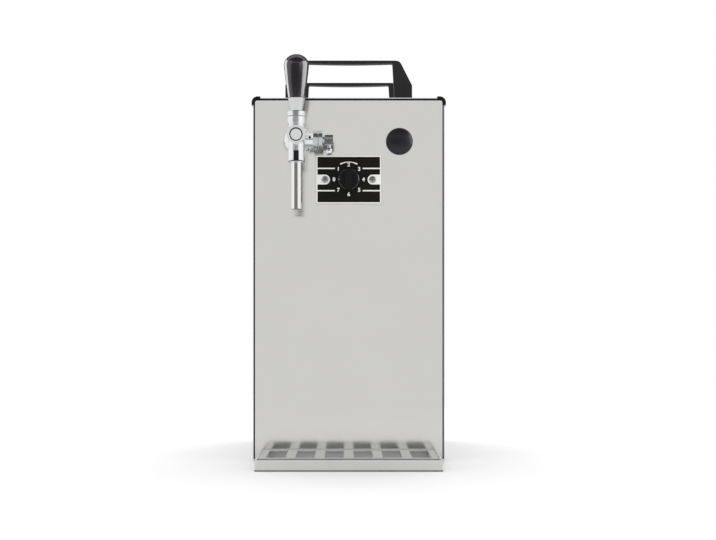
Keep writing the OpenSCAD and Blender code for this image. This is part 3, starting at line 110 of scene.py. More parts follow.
# Metals: linear colour, roughness, stretch and scale of the grain, its spread of roughness,
# unevenness of the colour, bump of the grain
METALS = {
    "front_steel": ((0.605, 0.60, 0.58), 0.11, ALONG_Z, 6000, 0.04, 0.012),
    "cover_steel": ((0.60, 0.60, 0.59), 0.26, ALONG_Y, 700, 0.07, 0.02, 0.06),
    "rear_steel": ((0.50, 0.50, 0.49), 0.32, ALONG_X, 700, 0.07, 0.03, 0.06),
    "chassis_steel": ((0.42, 0.43, 0.44), 0.42, EVEN, 60, 0.10, 0.10),
    "tray_steel": ((0.61, 0.61, 0.60), 0.34, ALONG_X, 700, 0.06, 0.02, 0.05),
    "grille_steel": ((0.68, 0.68, 0.665), 0.30, ALONG_X, 700, 0.06, 0.02, 0.05),
    "chrome": ((0.80, 0.81, 0.82), 0.05, EVEN, 160, 0.02, 0.015),
    "spout_steel": ((0.83, 0.825, 0.81), 0.07, ALONG_Z, 900, 0.02, 0.02),
    "soft_chrome": ((0.80, 0.81, 0.82), 0.25, EVEN, 160, 0.02, 0.015),
    "grey_chrome": ((0.64, 0.645, 0.645), 0.08, EVEN, 160, 0.02, 0.015),
    "satin_chrome": ((0.52, 0.54, 0.54), 0.24, ALONG_X, 700, 0.05, 0.03),
    "turned_steel": ((0.56, 0.57, 0.58), 0.24, EVEN, 500, 0.07, 0.04),
    "knurled_metal": ((0.30, 0.30, 0.305), 0.24, EVEN, 900, 0.10, 0.15, 0.15),
    "fastener_zinc": ((0.40, 0.41, 0.42), 0.28, EVEN, 500, 0.08, 0.08),
    "dark_zinc": ((0.40, 0.40, 0.405), 0.34, EVEN, 500, 0.08, 0.10),
    "aluminium": ((0.50, 0.51, 0.52), 0.38, EVEN, 120, 0.10, 0.06),
    "copper": ((0.60, 0.30, 0.17), 0.30, EVEN, 60, 0.10, 0.12),
    "brass": ((0.60, 0.44, 0.20), 0.28, EVEN, 60, 0.08, 0.08),
}

# Plastics, paint, print, rubber, foam, the basin's painted light and a painted shadow's grey: sRGB colour,
# roughness, specular level, scale and bump of the grain, unevenness of the colour
PLASTICS = {
    # Painted light: pale colour of the drip tray's inside, for the light that falls into it
    "basin_painted_light": ((225, 226, 226), 0.50, 0.2, 700, 0.05, 0.03),
    "black_trim": ((22, 22, 23), 0.45),
    "handle_plastic": ((41, 40, 41), 0.50, 0.3, 1400, 0.30),
    "knob_gloss": ((27, 22, 27), 0.15, 1.0, 900, 0.02, 0.10),
    "plug_plastic": ((31, 29, 35), 0.30, 0.3),
    "scale_print": ((28, 27, 23), 0.38, 0.1, 900, 0.05),
    "print_white": ((252, 252, 248), 0.45, 0.2, 900, 0.05, 0.02),
    "print_grey": ((150, 150, 146), 0.45, 0.2, 900, 0.05, 0.02),
    "dial_plastic": ((18, 18, 18), 0.20, 0.45, 1600, 0.06),
    "switch_plastic": ((26, 26, 27), 0.40),
    # Dark of the tap's small fittings; also the painted shade in the spout's bore, in the cap's ring and at
    # the socket's arch
    "tap_dark": ((20, 24, 23), 0.18, 0.5, 900, 0.02, 0.10),
    "rubber": ((26, 26, 26), 0.75, 0.2, 900, 0.30),
    # Painted shadow: grey of the strip along the tray's foot
    "shadow_strip_grey": ((72, 72, 70), 0.6),
    "thermostat_case": ((222, 218, 206), 0.45),
    "foam": ((228, 222, 202), 0.90, 0.2, 500, 0.60),
    "compressor_paint": ((26, 27, 29), 0.28, 0.4, 500, 0.10),
    "fan_plastic": ((30, 30, 31), 0.48),
    "pump_case": ((56, 58, 61), 0.52),
}


def srgb(rgb):
    """Linear colour of a colour given as 0 to 255 in sRGB."""
    def channel(v):
        v /= 255
        return v / 12.92 if v <= 0.04045 else ((v + 0.055) / 1.055) ** 2.4
    return tuple(channel(v) for v in rgb)


def new_material(name):
    made = bpy.data.materials.new(name)
    made.use_nodes = True
    tree = made.node_tree
    return made, tree, tree.nodes["Principled BSDF"]


def add(tree, kind, inputs=None, **settings):
    """New shader node with its settings, and its inputs set or linked."""
    node = tree.nodes.new(kind)
    for key, value in settings.items():
        setattr(node, key, value)
    for key, value in (inputs or {}).items():
        if isinstance(value, bpy.types.NodeSocket):
            tree.links.new(value, node.inputs[key])
        else:
            node.inputs[key].default_value = value
    return node


def noise(tree, scale, stretch=EVEN, detail=2.0):
    """Noise in object space, drawn out along an axis by stretch."""
    coords = add(tree, "ShaderNodeTexCoord").outputs["Object"]
    mapped = add(tree, "ShaderNodeMapping", {"Vector": coords, "Scale": stretch}).outputs["Vector"]
    return add(tree, "ShaderNodeTexNoise", {"Vector": mapped, "Scale": scale, "Detail": detail,
                                            "Roughness": NOISE_ROUGHNESS}).outputs["Fac"]


def spread(tree, value, low, high):
    """Maps the usual span of a noise to low to high."""
    return add(tree, "ShaderNodeMapRange", {"Value": value, "From Min": NOISE_SPAN[0],
                                            "From Max": NOISE_SPAN[1], "To Min": low,
                                            "To Max": high}).outputs["Result"]


def uneven(tree, value, color, vary):
    """Colour that is a little darker or lighter from place to place."""
    dark, light = (tuple(c * factor for c in color) + (1.0,) for factor in (1 - vary, 1 + vary))
    return add(tree, "ShaderNodeMix", {"Factor": value, "A": dark, "B": light},
               data_type="RGBA").outputs["Result"]


def bump(tree, height, strength, distance):
    return add(tree, "ShaderNodeBump", {"Height": height, "Strength": strength,
                                        "Distance": distance}).outputs["Normal"]


def metal(name, color, rough, grain, grain_scale, grain_spread, vary, grain_bump=0.0):
    """Metal whose fine grain runs along the axis with the smallest stretch."""
    made, tree, shader = new_material(name)
    shader.inputs["Metallic"].default_value = 1.0
    lines = noise(tree, grain_scale, grain)
    clouds = noise(tree, METAL_CLOUDS)
    smoothest = max(rough - grain_spread, LEAST_ROUGHNESS)
    tree.links.new(uneven(tree, clouds, color, vary), shader.inputs["Base Color"])
    tree.links.new(spread(tree, lines, smoothest, rough + grain_spread), shader.inputs["Roughness"])
    if grain_bump:
        tree.links.new(bump(tree, lines, grain_bump, METAL_BUMP), shader.inputs["Normal"])
    return made


def plastic(name, rgb, rough, specular=0.2, grain_scale=1800.0, grain_bump=0.15, vary=0.12):
    """Moulded plastic with a fine grain and slightly uneven gloss."""
    made, tree, shader = new_material(name)
    shader.inputs["Specular IOR Level"].default_value = specular
    grain = noise(tree, grain_scale)
    clouds = noise(tree, PLASTIC_CLOUDS, detail=PLASTIC_CLOUD_DETAIL)
    smoothest, roughest = (rough * factor for factor in PLASTIC_GLOSS)
    tree.links.new(uneven(tree, clouds, srgb(rgb), vary), shader.inputs["Base Color"])
    tree.links.new(spread(tree, clouds, smoothest, roughest), shader.inputs["Roughness"])
    tree.links.new(bump(tree, grain, grain_bump, PLASTIC_BUMP), shader.inputs["Normal"])
    return made


materials = {name: metal(name, *look) for name, look in METALS.items()}
materials.update({name: plastic(name, *look) for name, look in PLASTICS.items()})

# Pieces whose finish differs from the one of their slot
OWN_FINISH = {
    "thermostat_screws": "dark_zinc", "compensator_housing": "satin_chrome",
    "tap_body": "soft_chrome", "lever_collar": "soft_chrome",
    "lever_ferrule": "grey_chrome", "tap_front_cap": "grey_chrome",
}

# Rounding of the edges of the pieces whose edges show, in millimetres
EDGE_MM = {
    "front_carry_handle": 1.3, "rear_carry_handle": 1.3, "corner_caps": 0.45, "front_panel": 0.3,
    "wrap_cover": 0.25, "rear_panel": 0.25, "drip_grille": 0.25,
    "thermostat_plate": 0.15, "thermostat_knob": 0.5, "thermostat_screws": 0.12, "blanking_plug": 0.3,
    "tap_flange": 0.4, "coupling_nut": 0.3, "tap_body": 0.3, "tap_front_cap": 0.9, "spout_tube": 0.2,
    "lever_collar": 0.4, "lever_ferrule": 0.3, "lever_knob": 0.3, "compensator_housing": 0.35,
    "compensator_knob": 0.12, "power_inlet": 0.5, "switch_frames": 0.5, "cooling_switch": 0.5,
    "pump_switch": 0.5, "beer_inlet": 0.3, "air_outlet": 0.3, "rear_panel_screws": 0.25,
    "rubber_feet": 0.4, "air_pump": 1.5, "thermostat_housing": 0.8,
}
TRAY_EDGE_MM = {"top": 2.4, "foot": 0.3, "other": 0.45}
EDGE_SEGMENTS = 3

# Angle from which an edge is sharp, and angle below which faces are one flat face
SHARP = math.radians(32)
FLAT = math.radians(0.5)

# Lengths in metres below which places are the same, and the part of a normal that makes a face look one way
NEAR = 1e-5
SAME_PLACE = 1e-6
FACING = 0.7

# Room of the pins in the power inlet, in metres: half width, half height and depth
PIN_HALF_W = 0.009
PIN_HALF_H = 0.005
PIN_DEPTH = 0.0165


def mark_sharp(mesh):
    """Marks the edges at which faces meet at an angle. The faces of a CAD node don't share their points."""
    places = [tuple(round(c / SAME_PLACE) for c in vertex.co) for vertex in mesh.vertices]
    normals_at = {}
    for face in mesh.polygons:
        for a, b in face.edge_keys:
            normals_at.setdefault(frozenset((places[a], places[b])), []).append(face.normal)
    for edge in mesh.edges:
        a, b = edge.vertices
        normals = normals_at[frozenset((places[a], places[b]))]
        edge.use_edge_sharp = len(normals) == 2 and normals[0].angle(normals[1], 0) > SHARP


def soften(obj, width_mm):
    """Joins the faces, rounds the sharp edges and keeps the flat faces' shading flat."""
    joined = obj.modifiers.new("joined_faces", "WELD")
    joined.merge_threshold = SAME_PLACE
    flat = obj.modifiers.new("flat_faces", "DECIMATE")
    flat.decimate_type = "DISSOLVE"
    flat.angle_limit = FLAT
    edge = obj.modifiers.new("edges", "BEVEL")
    edge.width = width_mm / 1000
    edge.segments = EDGE_SEGMENTS
    edge.limit_method = "ANGLE"
    edge.angle_limit = SHARP
    edge.harden_normals = True
    edge.use_clamp_overlap = True
    return edge


def soften_tray():
    """Rounds the tray's outer edges by other widths than its inner ones, and most at the top."""
    obj = nodes["drip_tray"]
    mesh = obj.data
    widest = TRAY_EDGE_MM["top"]
    half_w, half_d = (tray_high.x - tray_low.x) / 2, (tray_high.y - tray_low.y) / 2

    def outside(v):
        return (abs(abs(v.x - tray_mid.x) - half_w) < NEAR
                or abs(abs(v.y - tray_mid.y) - half_d) < NEAR)

    weights = mesh.attributes.new("bevel_weight_edge", "FLOAT", "EDGE")
    for edge in mesh.edges:
        a, b = (mesh.vertices[i].co for i in edge.vertices)
        kind = "other"
        if outside(a) and outside(b):
            kind = "foot" if max(a.z, b.z) < tray_low.z + NEAR else "top"
        weights.data[edge.index].value = TRAY_EDGE_MM[kind] / widest if edge.use_edge_sharp else 0.0
    soften(obj, widest).limit_method = "WEIGHT"


def dress_nodes():
    """Gives each CAD node its finish, smooth curved faces and rounded edges."""
    slots = {row["node"]: row["material_slot"] for row in frame["record"]["subparts"]}
    for name, obj in nodes.items():
        if "custom_normal" in obj.data.attributes:
            obj.data.attributes.remove(obj.data.attributes["custom_normal"])
        obj.data.materials.clear()
        obj.data.materials.append(materials[OWN_FINISH.get(name, slots[name])])
        obj.data.shade_smooth()
        mark_sharp(obj.data)
        if name in EDGE_MM:
            soften(obj, EDGE_MM[name])


def second_finish(node, finish, chosen):
    """Gives the chosen faces of a node a finish of their own."""
    mesh = nodes[node].data
    mesh.materials.append(materials[finish])
    for face in mesh.polygons:
        if chosen(face):
            face.material_index = 1


def looks_inward(face, mid):
    """Whether a wall looks towards the upright line through mid."""
    return face.normal.xy.dot(face.center.xy - mid.xy) < -NEAR


def dull_basin():
    """Painted light: gives the inside of the drip tray a dull, pale colour that stands in for the light
    falling into it.
    """
    def in_basin(face):
        basin_floor = face.normal.z > FACING and face.center.z < tray_mid.z
        return basin_floor or looks_inward(face, tray_mid)

    second_finish("drip_tray", "basin_painted_light", in_basin)


def brass_pins():
    """Gives the three pins inside the power inlet a brass finish."""
    inlet_mid = middle("power_inlet")
    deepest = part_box("power_inlet")[1].y - PIN_DEPTH

    def on_pin(face):
        x, y, z = face.center
        return abs(x - inlet_mid.x) < PIN_HALF_W and abs(z - inlet_mid.z) < PIN_HALF_H and y > deepest

    second_finish("power_inlet", "brass", on_pin)


def dark_bore():
    """Painted shade: gives the inside and the lower rim of the spout a dark colour for the shade in the
    bore.
    """
    def in_bore(face):
        return face.normal.z < -FACING or looks_inward(face, spout_mid)

    second_finish("spout_tube", "tap_dark", in_bore)


dress_nodes()
soften_tray()
dull_basin()
brass_pins()
dark_bore()

# Thickness of print, in metres, and steps of the curves that are drawn
PRINT_T = 0.00012
FULL_TURN = 2 * math.pi
ROUND_STEPS = 48
ARC_STEPS = 24


def mesh_piece(name, bm, body, finish):
    """Turns a bmesh into a piece that rides on a body."""
    bmesh.ops.recalc_face_normals(bm, faces=bm.faces)
    mesh = bpy.data.meshes.new(name)
    bm.to_mesh(mesh)
    bm.free()
    mesh.materials.append(materials[finish])
    piece = bpy.data.objects.new(name, mesh)
    scene.collection.objects.link(piece)
    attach(piece, body)
    return piece


def skin(bm, loops, capped=True):
    """Faces from each closed loop of points to the next, with caps on the end loops or back to the first."""
    made = [[bm.verts.new(point) for point in loop] for loop in loops]
    if capped:
        bm.faces.new(made[0])
        bm.faces.new(made[-1])
    else:
        made.append(made[0])
    for a, b in zip(made, made[1:]):
        for i in range(len(a)):
            j = (i + 1) % len(a)
            bm.faces.new((a[i], a[j], b[j], b[i]))


def print_plate(bm, points, face_y):
    """Thin plate with an outline in X and Z, standing forward of face_y."""
    skin(bm, [[(x, y, z) for x, z in points] for y in (face_y - PRINT_T, face_y)])


def box_points(x0, x1, z0, z1):
    return [(x0, z0), (x1, z0), (x1, z1), (x0, z1)]


def round_points(cx, cz, r, a0, a1, steps):
    """Points of an arc from the angle a0 to a1."""
    angles = [a0 + (a1 - a0) * i / steps for i in range(steps + 1)]
    return [(cx + r * math.cos(a), cz + r * math.sin(a)) for a in angles]


def circle_points(cx, cz, r, steps):
    return round_points(cx, cz, r, 0, FULL_TURN, steps)[:-1]


def arc_way():
    """Steps along an arc, from -1 at its start to 1 at its end."""
    return [2 * i / ARC_STEPS - 1 for i in range(ARC_STEPS + 1)]


# Printed scale of the thermostat: sizes in metres, places from the middle of the plate
PRINT_INSET = 0.0002
BORDER_W = 0.0013
LINE_W = 0.0012
LINE_Z = 0.0104
LINE_IN = 0.0130
TAB_R = 0.0046
TAB_STEPS = 24
NUMBER_R = 0.0138
NUMBER_H = 0.0035
NUMBER_H_OF_SIZE = 0.72
NUMBER_SWELL = 0.00018
NUMBER_STEP = math.radians(45)
NUMBER_COUNT = 8
SCALE_ARC_R = 0.0164
SCALE_ARC_HALF = math.radians(29)
SCALE_ARC_W = (0.0007, 0.0014)
POINTER_SPAN = (0.99, 0.84)
POINTER_W = 0.0009
KNOB_SKIRT_T = 0.0035


def scale_marks():
    """White border, lines, screw tabs and arc of the scale plate."""
    bm = bmesh.new()
    w = (plate_high.x - plate_low.x) / 2 - PRINT_INSET
    h = (plate_high.z - plate_low.z) / 2 - PRINT_INSET
    screw_low, screw_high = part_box("thermostat_screws")
    screw_x = screw_high.x - (screw_high.z - screw_low.z) / 2 - plate_mid.x

    def put(points):
        print_plate(bm, [(plate_mid.x + x, plate_mid.z + z) for x, z in points], plate_low.y)

    put(box_points(-w, w, h - BORDER_W, h))
    put(box_points(-w, w, -h, -h + BORDER_W))
    for side in (-1, 1):
        border_x = side * (w - BORDER_W)
        put(box_points(*sorted((side * w, border_x)), -h + BORDER_W, h - BORDER_W))
        for z in (-LINE_Z, LINE_Z):
            put(box_points(*sorted((border_x, side * LINE_IN)), z - LINE_W / 2, z + LINE_W / 2))
        start = side * math.pi / 2
        tab = round_points(side * screw_x, 0, TAB_R, start, start + math.pi, TAB_STEPS)
        put(tab + [(border_x, -side * TAB_R), (border_x, side * TAB_R)])

    inner_arc, outer_arc = [], []
    thin, thick = SCALE_ARC_W
    for t in arc_way():
        a = math.pi / 2 - t * SCALE_ARC_HALF
        half = (thin + (thick - thin) * t * t) / 2
        for arc, r in ((inner_arc, SCALE_ARC_R - half), (outer_arc, SCALE_ARC_R + half)):
            arc.append((r * math.cos(a), r * math.sin(a)))
    put(inner_arc + outer_arc[::-1])
    mesh_piece("scale_marks", bm, "casing", "print_white")


def scale_numbers():
    """Numbers 0 to 7 round the dial, from its left side clockwise."""
    bm = bmesh.new()
    for number in range(NUMBER_COUNT):
        curve = bpy.data.curves.new("number", "FONT")
        curve.body = str(number)
        curve.size = NUMBER_H / NUMBER_H_OF_SIZE
        curve.align_x = "CENTER"
        curve.align_y = "CENTER"
        curve.extrude = PRINT_T / 2
        curve.offset = NUMBER_SWELL
        text = bpy.data.objects.new("number", curve)
        a = math.pi - number * NUMBER_STEP
        text.location = (plate_mid.x + NUMBER_R * math.cos(a), plate_low.y - PRINT_T / 2,
                         plate_mid.z + NUMBER_R * math.sin(a))
        text.rotation_euler = (math.radians(90), 0, 0)
        scene.collection.objects.link(text)
        bpy.context.view_layer.update()
        made = text.evaluated_get(bpy.context.evaluated_depsgraph_get())
        glyph = bpy.data.meshes.new_from_object(made)
        glyph.transform(text.matrix_world)
        bm.from_mesh(glyph)
        bpy.data.meshes.remove(glyph)
        bpy.data.objects.remove(text)
        bpy.data.curves.remove(curve)
    bmesh.ops.remove_doubles(bm, verts=bm.verts, dist=SAME_PLACE)
    mesh_piece("scale_numbers", bm, "casing", "print_white")


def dial_pointer():
    """Pale dash on the dial's skirt, at the scale's zero."""
    knob_low, knob_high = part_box("thermostat_knob")
    radius = (knob_high.z - knob_low.z) / 2
    x0, x1 = (plate_mid.x - radius * share for share in POINTER_SPAN)
    z0, z1 = plate_mid.z - POINTER_W / 2, plate_mid.z + POINTER_W / 2
    bm = bmesh.new()
    print_plate(bm, box_points(x0, x1, z0, z1), knob_high.y - KNOB_SKIRT_T)
    mesh_piece("dial_pointer", bm, "thermostat_dial", "print_grey")


scale_marks()
scale_numbers()
dial_pointer()

# On and off marks of the rocker switches, in metres
BAR_W = 0.0009
BAR_H = 0.0042
RING_IN = 0.0014
RING_OUT = 0.0021
MARK_STEPS = 28


def rocker_face(node, upper):
    """Middle and normal of the upper or the lower half of a rocker's face."""
    centre, normal, area = Vector(), Vector(), 0.0
    mid_z = middle(node).z
    for face in nodes[node].data.polygons:
        if face.normal.y > FACING and (face.center.z > mid_z) == upper:
            centre += face.center * face.area
            normal += face.normal * face.area
            area += face.area
    return centre / area, normal.normalized()


def rocker_mark(name, node, body, upper, outer, inner=None):
    """Thin printed mark on one half of a rocker: a plate, or a band round an inner loop."""
    centre, normal = rocker_face(node, upper)
    across = Vector((-1, 0, 0))
    up = normal.cross(across).normalized()
    section = [(outer, -PRINT_T), (outer, PRINT_T)]
    if inner:
        section += [(inner, PRINT_T), (inner, -PRINT_T)]
    loops = [[centre + across * x + up * z + normal * lift for x, z in points]
             for points, lift in section]
    bm = bmesh.new()
    skin(bm, loops, capped=not inner)
    mesh_piece(name, bm, body, "print_white")


def rocker_marks():
    """A bar on the upper half and a ring on the lower half of each rocker."""
    end_z, end_r = (BAR_H - BAR_W) / 2, BAR_W / 2
    bar = (round_points(0, end_z, end_r, 0, math.pi, MARK_STEPS // 2)
           + round_points(0, -end_z, end_r, math.pi, FULL_TURN, MARK_STEPS // 2))
    inner, outer = (circle_points(0, 0, r, MARK_STEPS) for r in (RING_IN, RING_OUT))
    for rocker in ("cooling", "pump"):
        node, body = rocker + "_switch", rocker + "_rocker"
        rocker_mark(rocker + "_on_mark", node, body, True, bar)
        rocker_mark(rocker + "_off_mark", node, body, False, outer, inner)


rocker_marks()

# Painted shadow: a dark strip round the drip tray's foot for the shadow line under it, in metres,
# and the rounding of its edges in millimetres
STRIP_H = 0.0010
STRIP_OUT = 0.00012
STRIP_IN = 0.0006
STRIP_EDGE_MM = 0.1


def tray_strip():
    """Painted shadow: thin dark strip that edges the tray's foot, for the shadow line where it meets the
    floor.
    """
    loops = []
    for out, z in ((STRIP_OUT, 0), (STRIP_OUT, STRIP_H), (-STRIP_IN, STRIP_H), (-STRIP_IN, 0)):
        plan = box_points(tray_low.x - out, tray_high.x + out, tray_low.y - out, tray_high.y + out)
        loops.append([(x, y, tray_low.z + z) for x, y in plan])
    bm = bmesh.new()
    skin(bm, loops, capped=False)
    strip = mesh_piece("tray_strip", bm, "tray", "shadow_strip_grey")
    soften(strip, STRIP_EDGE_MM)


tray_strip()

# Small fittings of the tap, and painted shade on it, in metres
CAP_DISC_R = 0.0050
# Drop of the disc that makes the painted shade ring widest at the top
CAP_SHADE_DROP = 0.0002
CAP_SHADE_RING_R = 0.0060
CAP_RECESS = 0.0008
SOCKET_R = 0.0075
SOCKET_FOOT = 0.0243
# Painted shadow at the socket's arched foot: width, rise, half angle and sink
ARCH_W = 0.0009
ARCH_RISE = 0.0009
ARCH_HALF = math.radians(66)
ARCH_SINK = 0.0004
WINDOW_HALF_W = 0.0023
WINDOW_TOP = 0.0140
WINDOW_FOOT = 0.0224
WINDOW_SINK = 0.0004
WINDOW_DEPTH = 0.00195
WINDOW_STEPS = 10
GRUB_R = 0.00115
GRUB_SINK = 0.0005
GRUB_T = 0.0018
GRUB_KEY = 0.0006
GRUB_BACK = 0.0030
BRANCH_OUT = 0.03375


def tap_fitting(name, loops, capped=True):
    """Small dark piece of the tap, for its fittings and for painted shade on it."""
    bm = bmesh.new()
    skin(bm, loops, capped)
    mesh_piece(name, bm, "casing", "tap_dark")


def cap_groove():
    """Painted shade: dark ring round the disc that is let into the tap's front cap, for the shadow of the
    recess's rim; the disc sits a little low, so the ring is widest at the top.
    """
    face_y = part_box("tap_front_cap")[0].y + CAP_RECESS
    front, back = face_y - PRINT_T, face_y + PRINT_T
    inner = circle_points(tap_mid.x, tap_mid.z - CAP_SHADE_DROP, CAP_DISC_R, ROUND_STEPS)
    outer = circle_points(tap_mid.x, tap_mid.z, CAP_SHADE_RING_R, ROUND_STEPS)
    section = ((inner, front), (outer, front), (outer, back), (inner, back))
    tap_fitting("cap_groove", [[(x, y, z) for x, z in points] for points, y in section], capped=False)


def socket_window():
    """Dark insert with a round front, in the window of the spout's socket."""
    radius = SOCKET_R - WINDOW_SINK
    lean = math.asin(WINDOW_HALF_W / radius)
    forward = -math.pi / 2
    back_y = spout_mid.y - SOCKET_R + WINDOW_DEPTH
    plan = round_points(spout_mid.x, spout_mid.y, radius, forward - lean, forward + lean, WINDOW_STEPS)
    plan += [(spout_mid.x + WINDOW_HALF_W, back_y), (spout_mid.x - WINDOW_HALF_W, back_y)]
    heights = (tap_mid.z - WINDOW_FOOT, tap_mid.z - WINDOW_TOP)
    tap_fitting("socket_window", [[(x, y, z) for x, y in plan] for z in heights])


def socket_arch():
    """Painted shadow: dark arched strip on the front of the spout's socket, at its foot, where the socket's
    arched edge shades the spout.
    """
    inner, outer = SOCKET_R - ARCH_SINK, SOCKET_R + PRINT_T
    loops = []
    for t in arc_way():
        a = -math.pi / 2 + t * ARCH_HALF
        foot = tap_mid.z - SOCKET_FOOT + ARCH_RISE * (1 - t * t)
        section = ((outer, foot), (outer, foot + ARCH_W), (inner, foot + ARCH_W), (inner, foot))
        loops.append([(spout_mid.x + r * math.cos(a), spout_mid.y + r * math.sin(a), z)
                      for r, z in section])
    tap_fitting("socket_arch", loops)


def grub_screw():
    """Set screw with a hexagonal key hole, sunk in the front of the compensator's block."""
    centre_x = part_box("compensator_housing")[0].x - GRUB_BACK
    face_y = front_y - BRANCH_OUT + GRUB_SINK

    def circle(a):
        return GRUB_R

    def hexagon(a):
        return GRUB_KEY / math.cos(a % (math.pi / 3) - math.pi / 6)

    def ring(y, radius_at):
        """Ring of points at the depth y, with the radius a function of the angle."""
        angles = [FULL_TURN * i / ROUND_STEPS for i in range(ROUND_STEPS)]
        return [(centre_x + radius_at(a) * math.cos(a), y, tap_mid.z + radius_at(a) * math.sin(a))
                for a in angles]

    tap_fitting("grub_screw", [ring(face_y + GRUB_T, circle), ring(face_y, circle),
                               ring(face_y, hexagon), ring(face_y + GRUB_T / 2, hexagon)])


cap_groove()
socket_window()
socket_arch()
grub_screw()

# Studio, in metres
FLAT_SHEETS = ("front_panel", "wrap_cover", "rear_panel", "tap_flange")
PALE_PIECES = FLAT_SHEETS + ("tap_front_cap", "drip_tray", "drip_grille", "coupling_nut",
                             "compensator_housing")
FLOOR_HALF = 6.0
FADE_FROM = 0.55
FADE_TO = 1.1
FLOOR_ALBEDO = 0.81
FLOOR_GLOW = 0.05
WORLD_FILL = 0.84
CARD_DISTANCE = 1.45


def bare_tree(owner):
    """Empty node tree of a material or a world."""
    owner.use_nodes = True
    owner.node_tree.nodes.clear()
    return owner.node_tree


def seen_directly(tree):
    """1 for camera, glossy and transmission rays, 0 for the light that diffuse surfaces gather."""
    path = add(tree, "ShaderNodeLightPath").outputs
    direct = path["Is Camera Ray"]
    for ray in ("Is Glossy Ray", "Is Transmission Ray"):
        direct = add(tree, "ShaderNodeMath", {0: direct, 1: path[ray]}, operation="MAXIMUM").outputs[0]
    return direct


def make_world():
    """White where it is seen directly, and a little less as a light."""
    scene.world = bpy.data.worlds.new("studio")
    tree = bare_tree(scene.world)
    fill = add(tree, "ShaderNodeBackground", {"Color": WHITE, "Strength": WORLD_FILL}).outputs[0]
    white = add(tree, "ShaderNodeBackground", {"Color": WHITE, "Strength": 1.0}).outputs[0]
    mix = add(tree, "ShaderNodeMixShader", {0: seen_directly(tree), 1: fill, 2: white})
    add(tree, "ShaderNodeOutputWorld", {"Surface": mix.outputs[0]})


def floor_material():
    """Pale floor that keeps the object's shadow near it and fades to plain white further off."""
    made = bpy.data.materials.new("floor")
    tree = bare_tree(made)
    direct = seen_directly(tree)
    lit = add(tree, "ShaderNodeBsdfDiffuse", {"Color": (FLOOR_ALBEDO,) * 3 + (1,)})
    glow_level = add(tree, "ShaderNodeMath", {0: direct, 1: FLOOR_GLOW}, operation="MULTIPLY")
    glow = add(tree, "ShaderNodeEmission", {"Color": WHITE, "Strength": glow_level.outputs[0]})
    near = add(tree, "ShaderNodeAddShader", {0: lit.outputs[0], 1: glow.outputs[0]})
    far_level = add(tree, "ShaderNodeMapRange", {"Value": direct, "To Min": WORLD_FILL, "To Max": 1.0})
    far = add(tree, "ShaderNodeEmission", {"Color": WHITE, "Strength": far_level.outputs["Result"]})
    place = add(tree, "ShaderNodeNewGeometry").outputs["Position"]
    distance = add(tree, "ShaderNodeVectorMath", {0: place}, operation="LENGTH").outputs["Value"]
    fade = add(tree, "ShaderNodeMapRange", {"Value": distance, "From Min": FADE_FROM, "From Max": FADE_TO},
               interpolation_type="SMOOTHSTEP").outputs["Result"]
    mix = add(tree, "ShaderNodeMixShader", {0: fade, 1: near.outputs[0], 2: far.outputs[0]})
    add(tree, "ShaderNodeOutputMaterial", {"Surface": mix.outputs[0]})
    return made


def card_material(name, level):
    """Tinted card with a glow that makes up what the tint takes away, for the pieces that receive it."""
    made = bpy.data.materials.new(name)
    tree = bare_tree(made)
    tinted = add(tree, "ShaderNodeBsdfTransparent", {"Color": (level, level, level, 1)})
    glow = add(tree, "ShaderNodeEmission", {"Color": WHITE, "Strength": 1 - level})
    both = add(tree, "ShaderNodeAddShader", {0: tinted.outputs[0], 1: glow.outputs[0]})
    add(tree, "ShaderNodeOutputMaterial", {"Surface": both.outputs[0]})
    return made


def upright(x, y, z):
    """Corners of an upright sheet; x and z are spans."""
    return [(x[0], y, z[0]), (x[1], y, z[0]), (x[1], y, z[1]), (x[0], y, z[1])]


def level_at(x, y, z):
    """Corners of a level sheet; x and y are spans."""
    return [(x[0], y[0], z), (x[1], y[0], z), (x[1], y[1], z), (x[0], y[1], z)]


def plane(name, corners, material):
    """Sheet that belongs to the studio."""
    mesh = bpy.data.meshes.new(name)
    mesh.from_pydata(corners, [], [list(range(len(corners)))])
    mesh.materials.append(material)
    obj = bpy.data.objects.new(name, mesh)
    scene.collection.objects.link(obj)
    return obj


def make_floor():
    span = (-FLOOR_HALF, FLOOR_HALF)
    plane("floor", level_at(span, span, 0), floor_material())


def shine_on(light, pieces):
    """Keeps the light of a lamp or a card to some pieces."""
    receivers = bpy.data.collections.new(light.name)
    for piece in pieces:
        receivers.objects.link(piece)
    light.light_linking.receiver_collection = receivers


def make_card(name, corners, level, white_for):
    """Card that mirrors see as grey, apart from the pieces that see it as white."""
    card = plane(name, corners, card_material(name, level))
    card.visible_camera = False
    card.visible_diffuse = False
    card.visible_shadow = False
    shine_on(card, white_for)


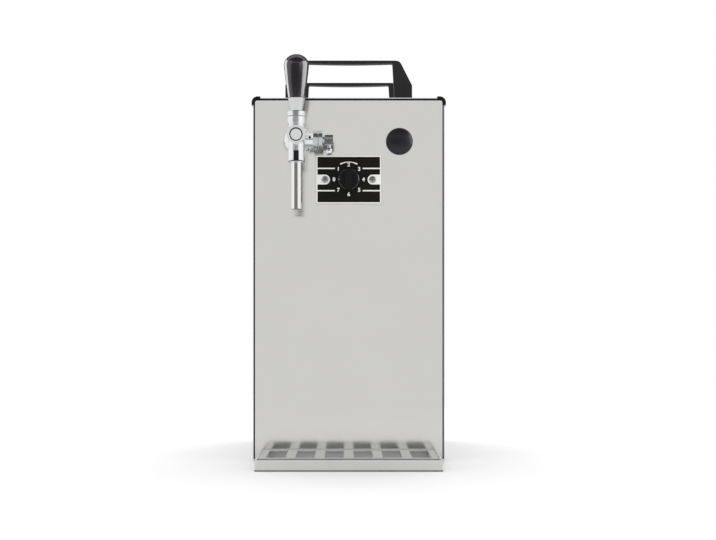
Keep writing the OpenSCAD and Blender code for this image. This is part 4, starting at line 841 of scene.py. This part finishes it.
def make_lamp(name, place, target, size, watts, mirrored=True):
    data = bpy.data.lights.new(name, "AREA")
    data.shape = "RECTANGLE"
    data.size, data.size_y = size
    data.energy = watts
    lamp = bpy.data.objects.new(name, data)
    lamp.location = place
    lamp.rotation_euler = (Vector(target) - Vector(place)).to_track_quat("-Z", "Y").to_euler()
    lamp.visible_glossy = mirrored
    scene.collection.objects.link(lamp)
    return lamp


def make_cards():
    """Grey cards that shape the mirror images in the tap and the knob, and that sheets see as white."""
    card_y = front_y - CARD_DISTANCE
    tap_body = nodes["tap_body"]
    sheets = [nodes[name] for name in FLAT_SHEETS]
    pale = [nodes[name] for name in PALE_PIECES]
    all_but_knob = [piece for name, piece in nodes.items() if name != "lever_knob"]
    make_card("upper_card", upright(x=(-1.50, 0.66), y=card_y, z=(0.30, 0.85)),
              level=0.20, white_for=pale)
    make_card("low_card", upright(x=(-2.2, 2.2), y=card_y, z=(0.05, 0.30)),
              level=0.15, white_for=pale + [tap_body])
    make_card("ceiling_card", level_at(x=(-0.9, 0.9), y=(-1.5, -0.15), z=1.05),
              level=0.12, white_for=sheets + [tap_body])
    make_card("rim_card", upright(x=(-2.5, 2.5), y=1.2, z=(0, 2.4)),
              level=0.15, white_for=all_but_knob)


def make_lamps():
    """Two boxes for the gloss of the black plastics, and three soft lamps for all pieces."""
    knob, dial, plug = (nodes[name] for name in ("lever_knob", "thermostat_knob", "blanking_plug"))
    knob_mid = middle("lever_knob")
    left = make_lamp("left_box", place=(-0.95, 0.375, 0.57), target=knob_mid, size=(0.75, 0.80), watts=9.0)
    right = make_lamp("right_box", place=(0.95, -0.12, 0.57), target=knob_mid, size=(1.03, 0.80), watts=10.4)
    shine_on(left, [knob, plug])
    shine_on(right, [knob, dial, plug])
    make_lamp("key", place=(-1.1, -1.2, 1.5), target=(0, 0, 0.15), size=(0.9, 0.9), watts=2)
    make_lamp("fill", place=(1.3, -0.9, 1.0), target=(0, 0, 0.15), size=(0.8, 1.0), watts=1)
    make_lamp("top", place=(0, 0.7, 1.7), target=(0, 0, 0.1), size=(1.2, 1.2), watts=20, mirrored=False)


make_world()
make_floor()
make_cards()
make_lamps()
scene.view_settings.view_transform = "Standard"
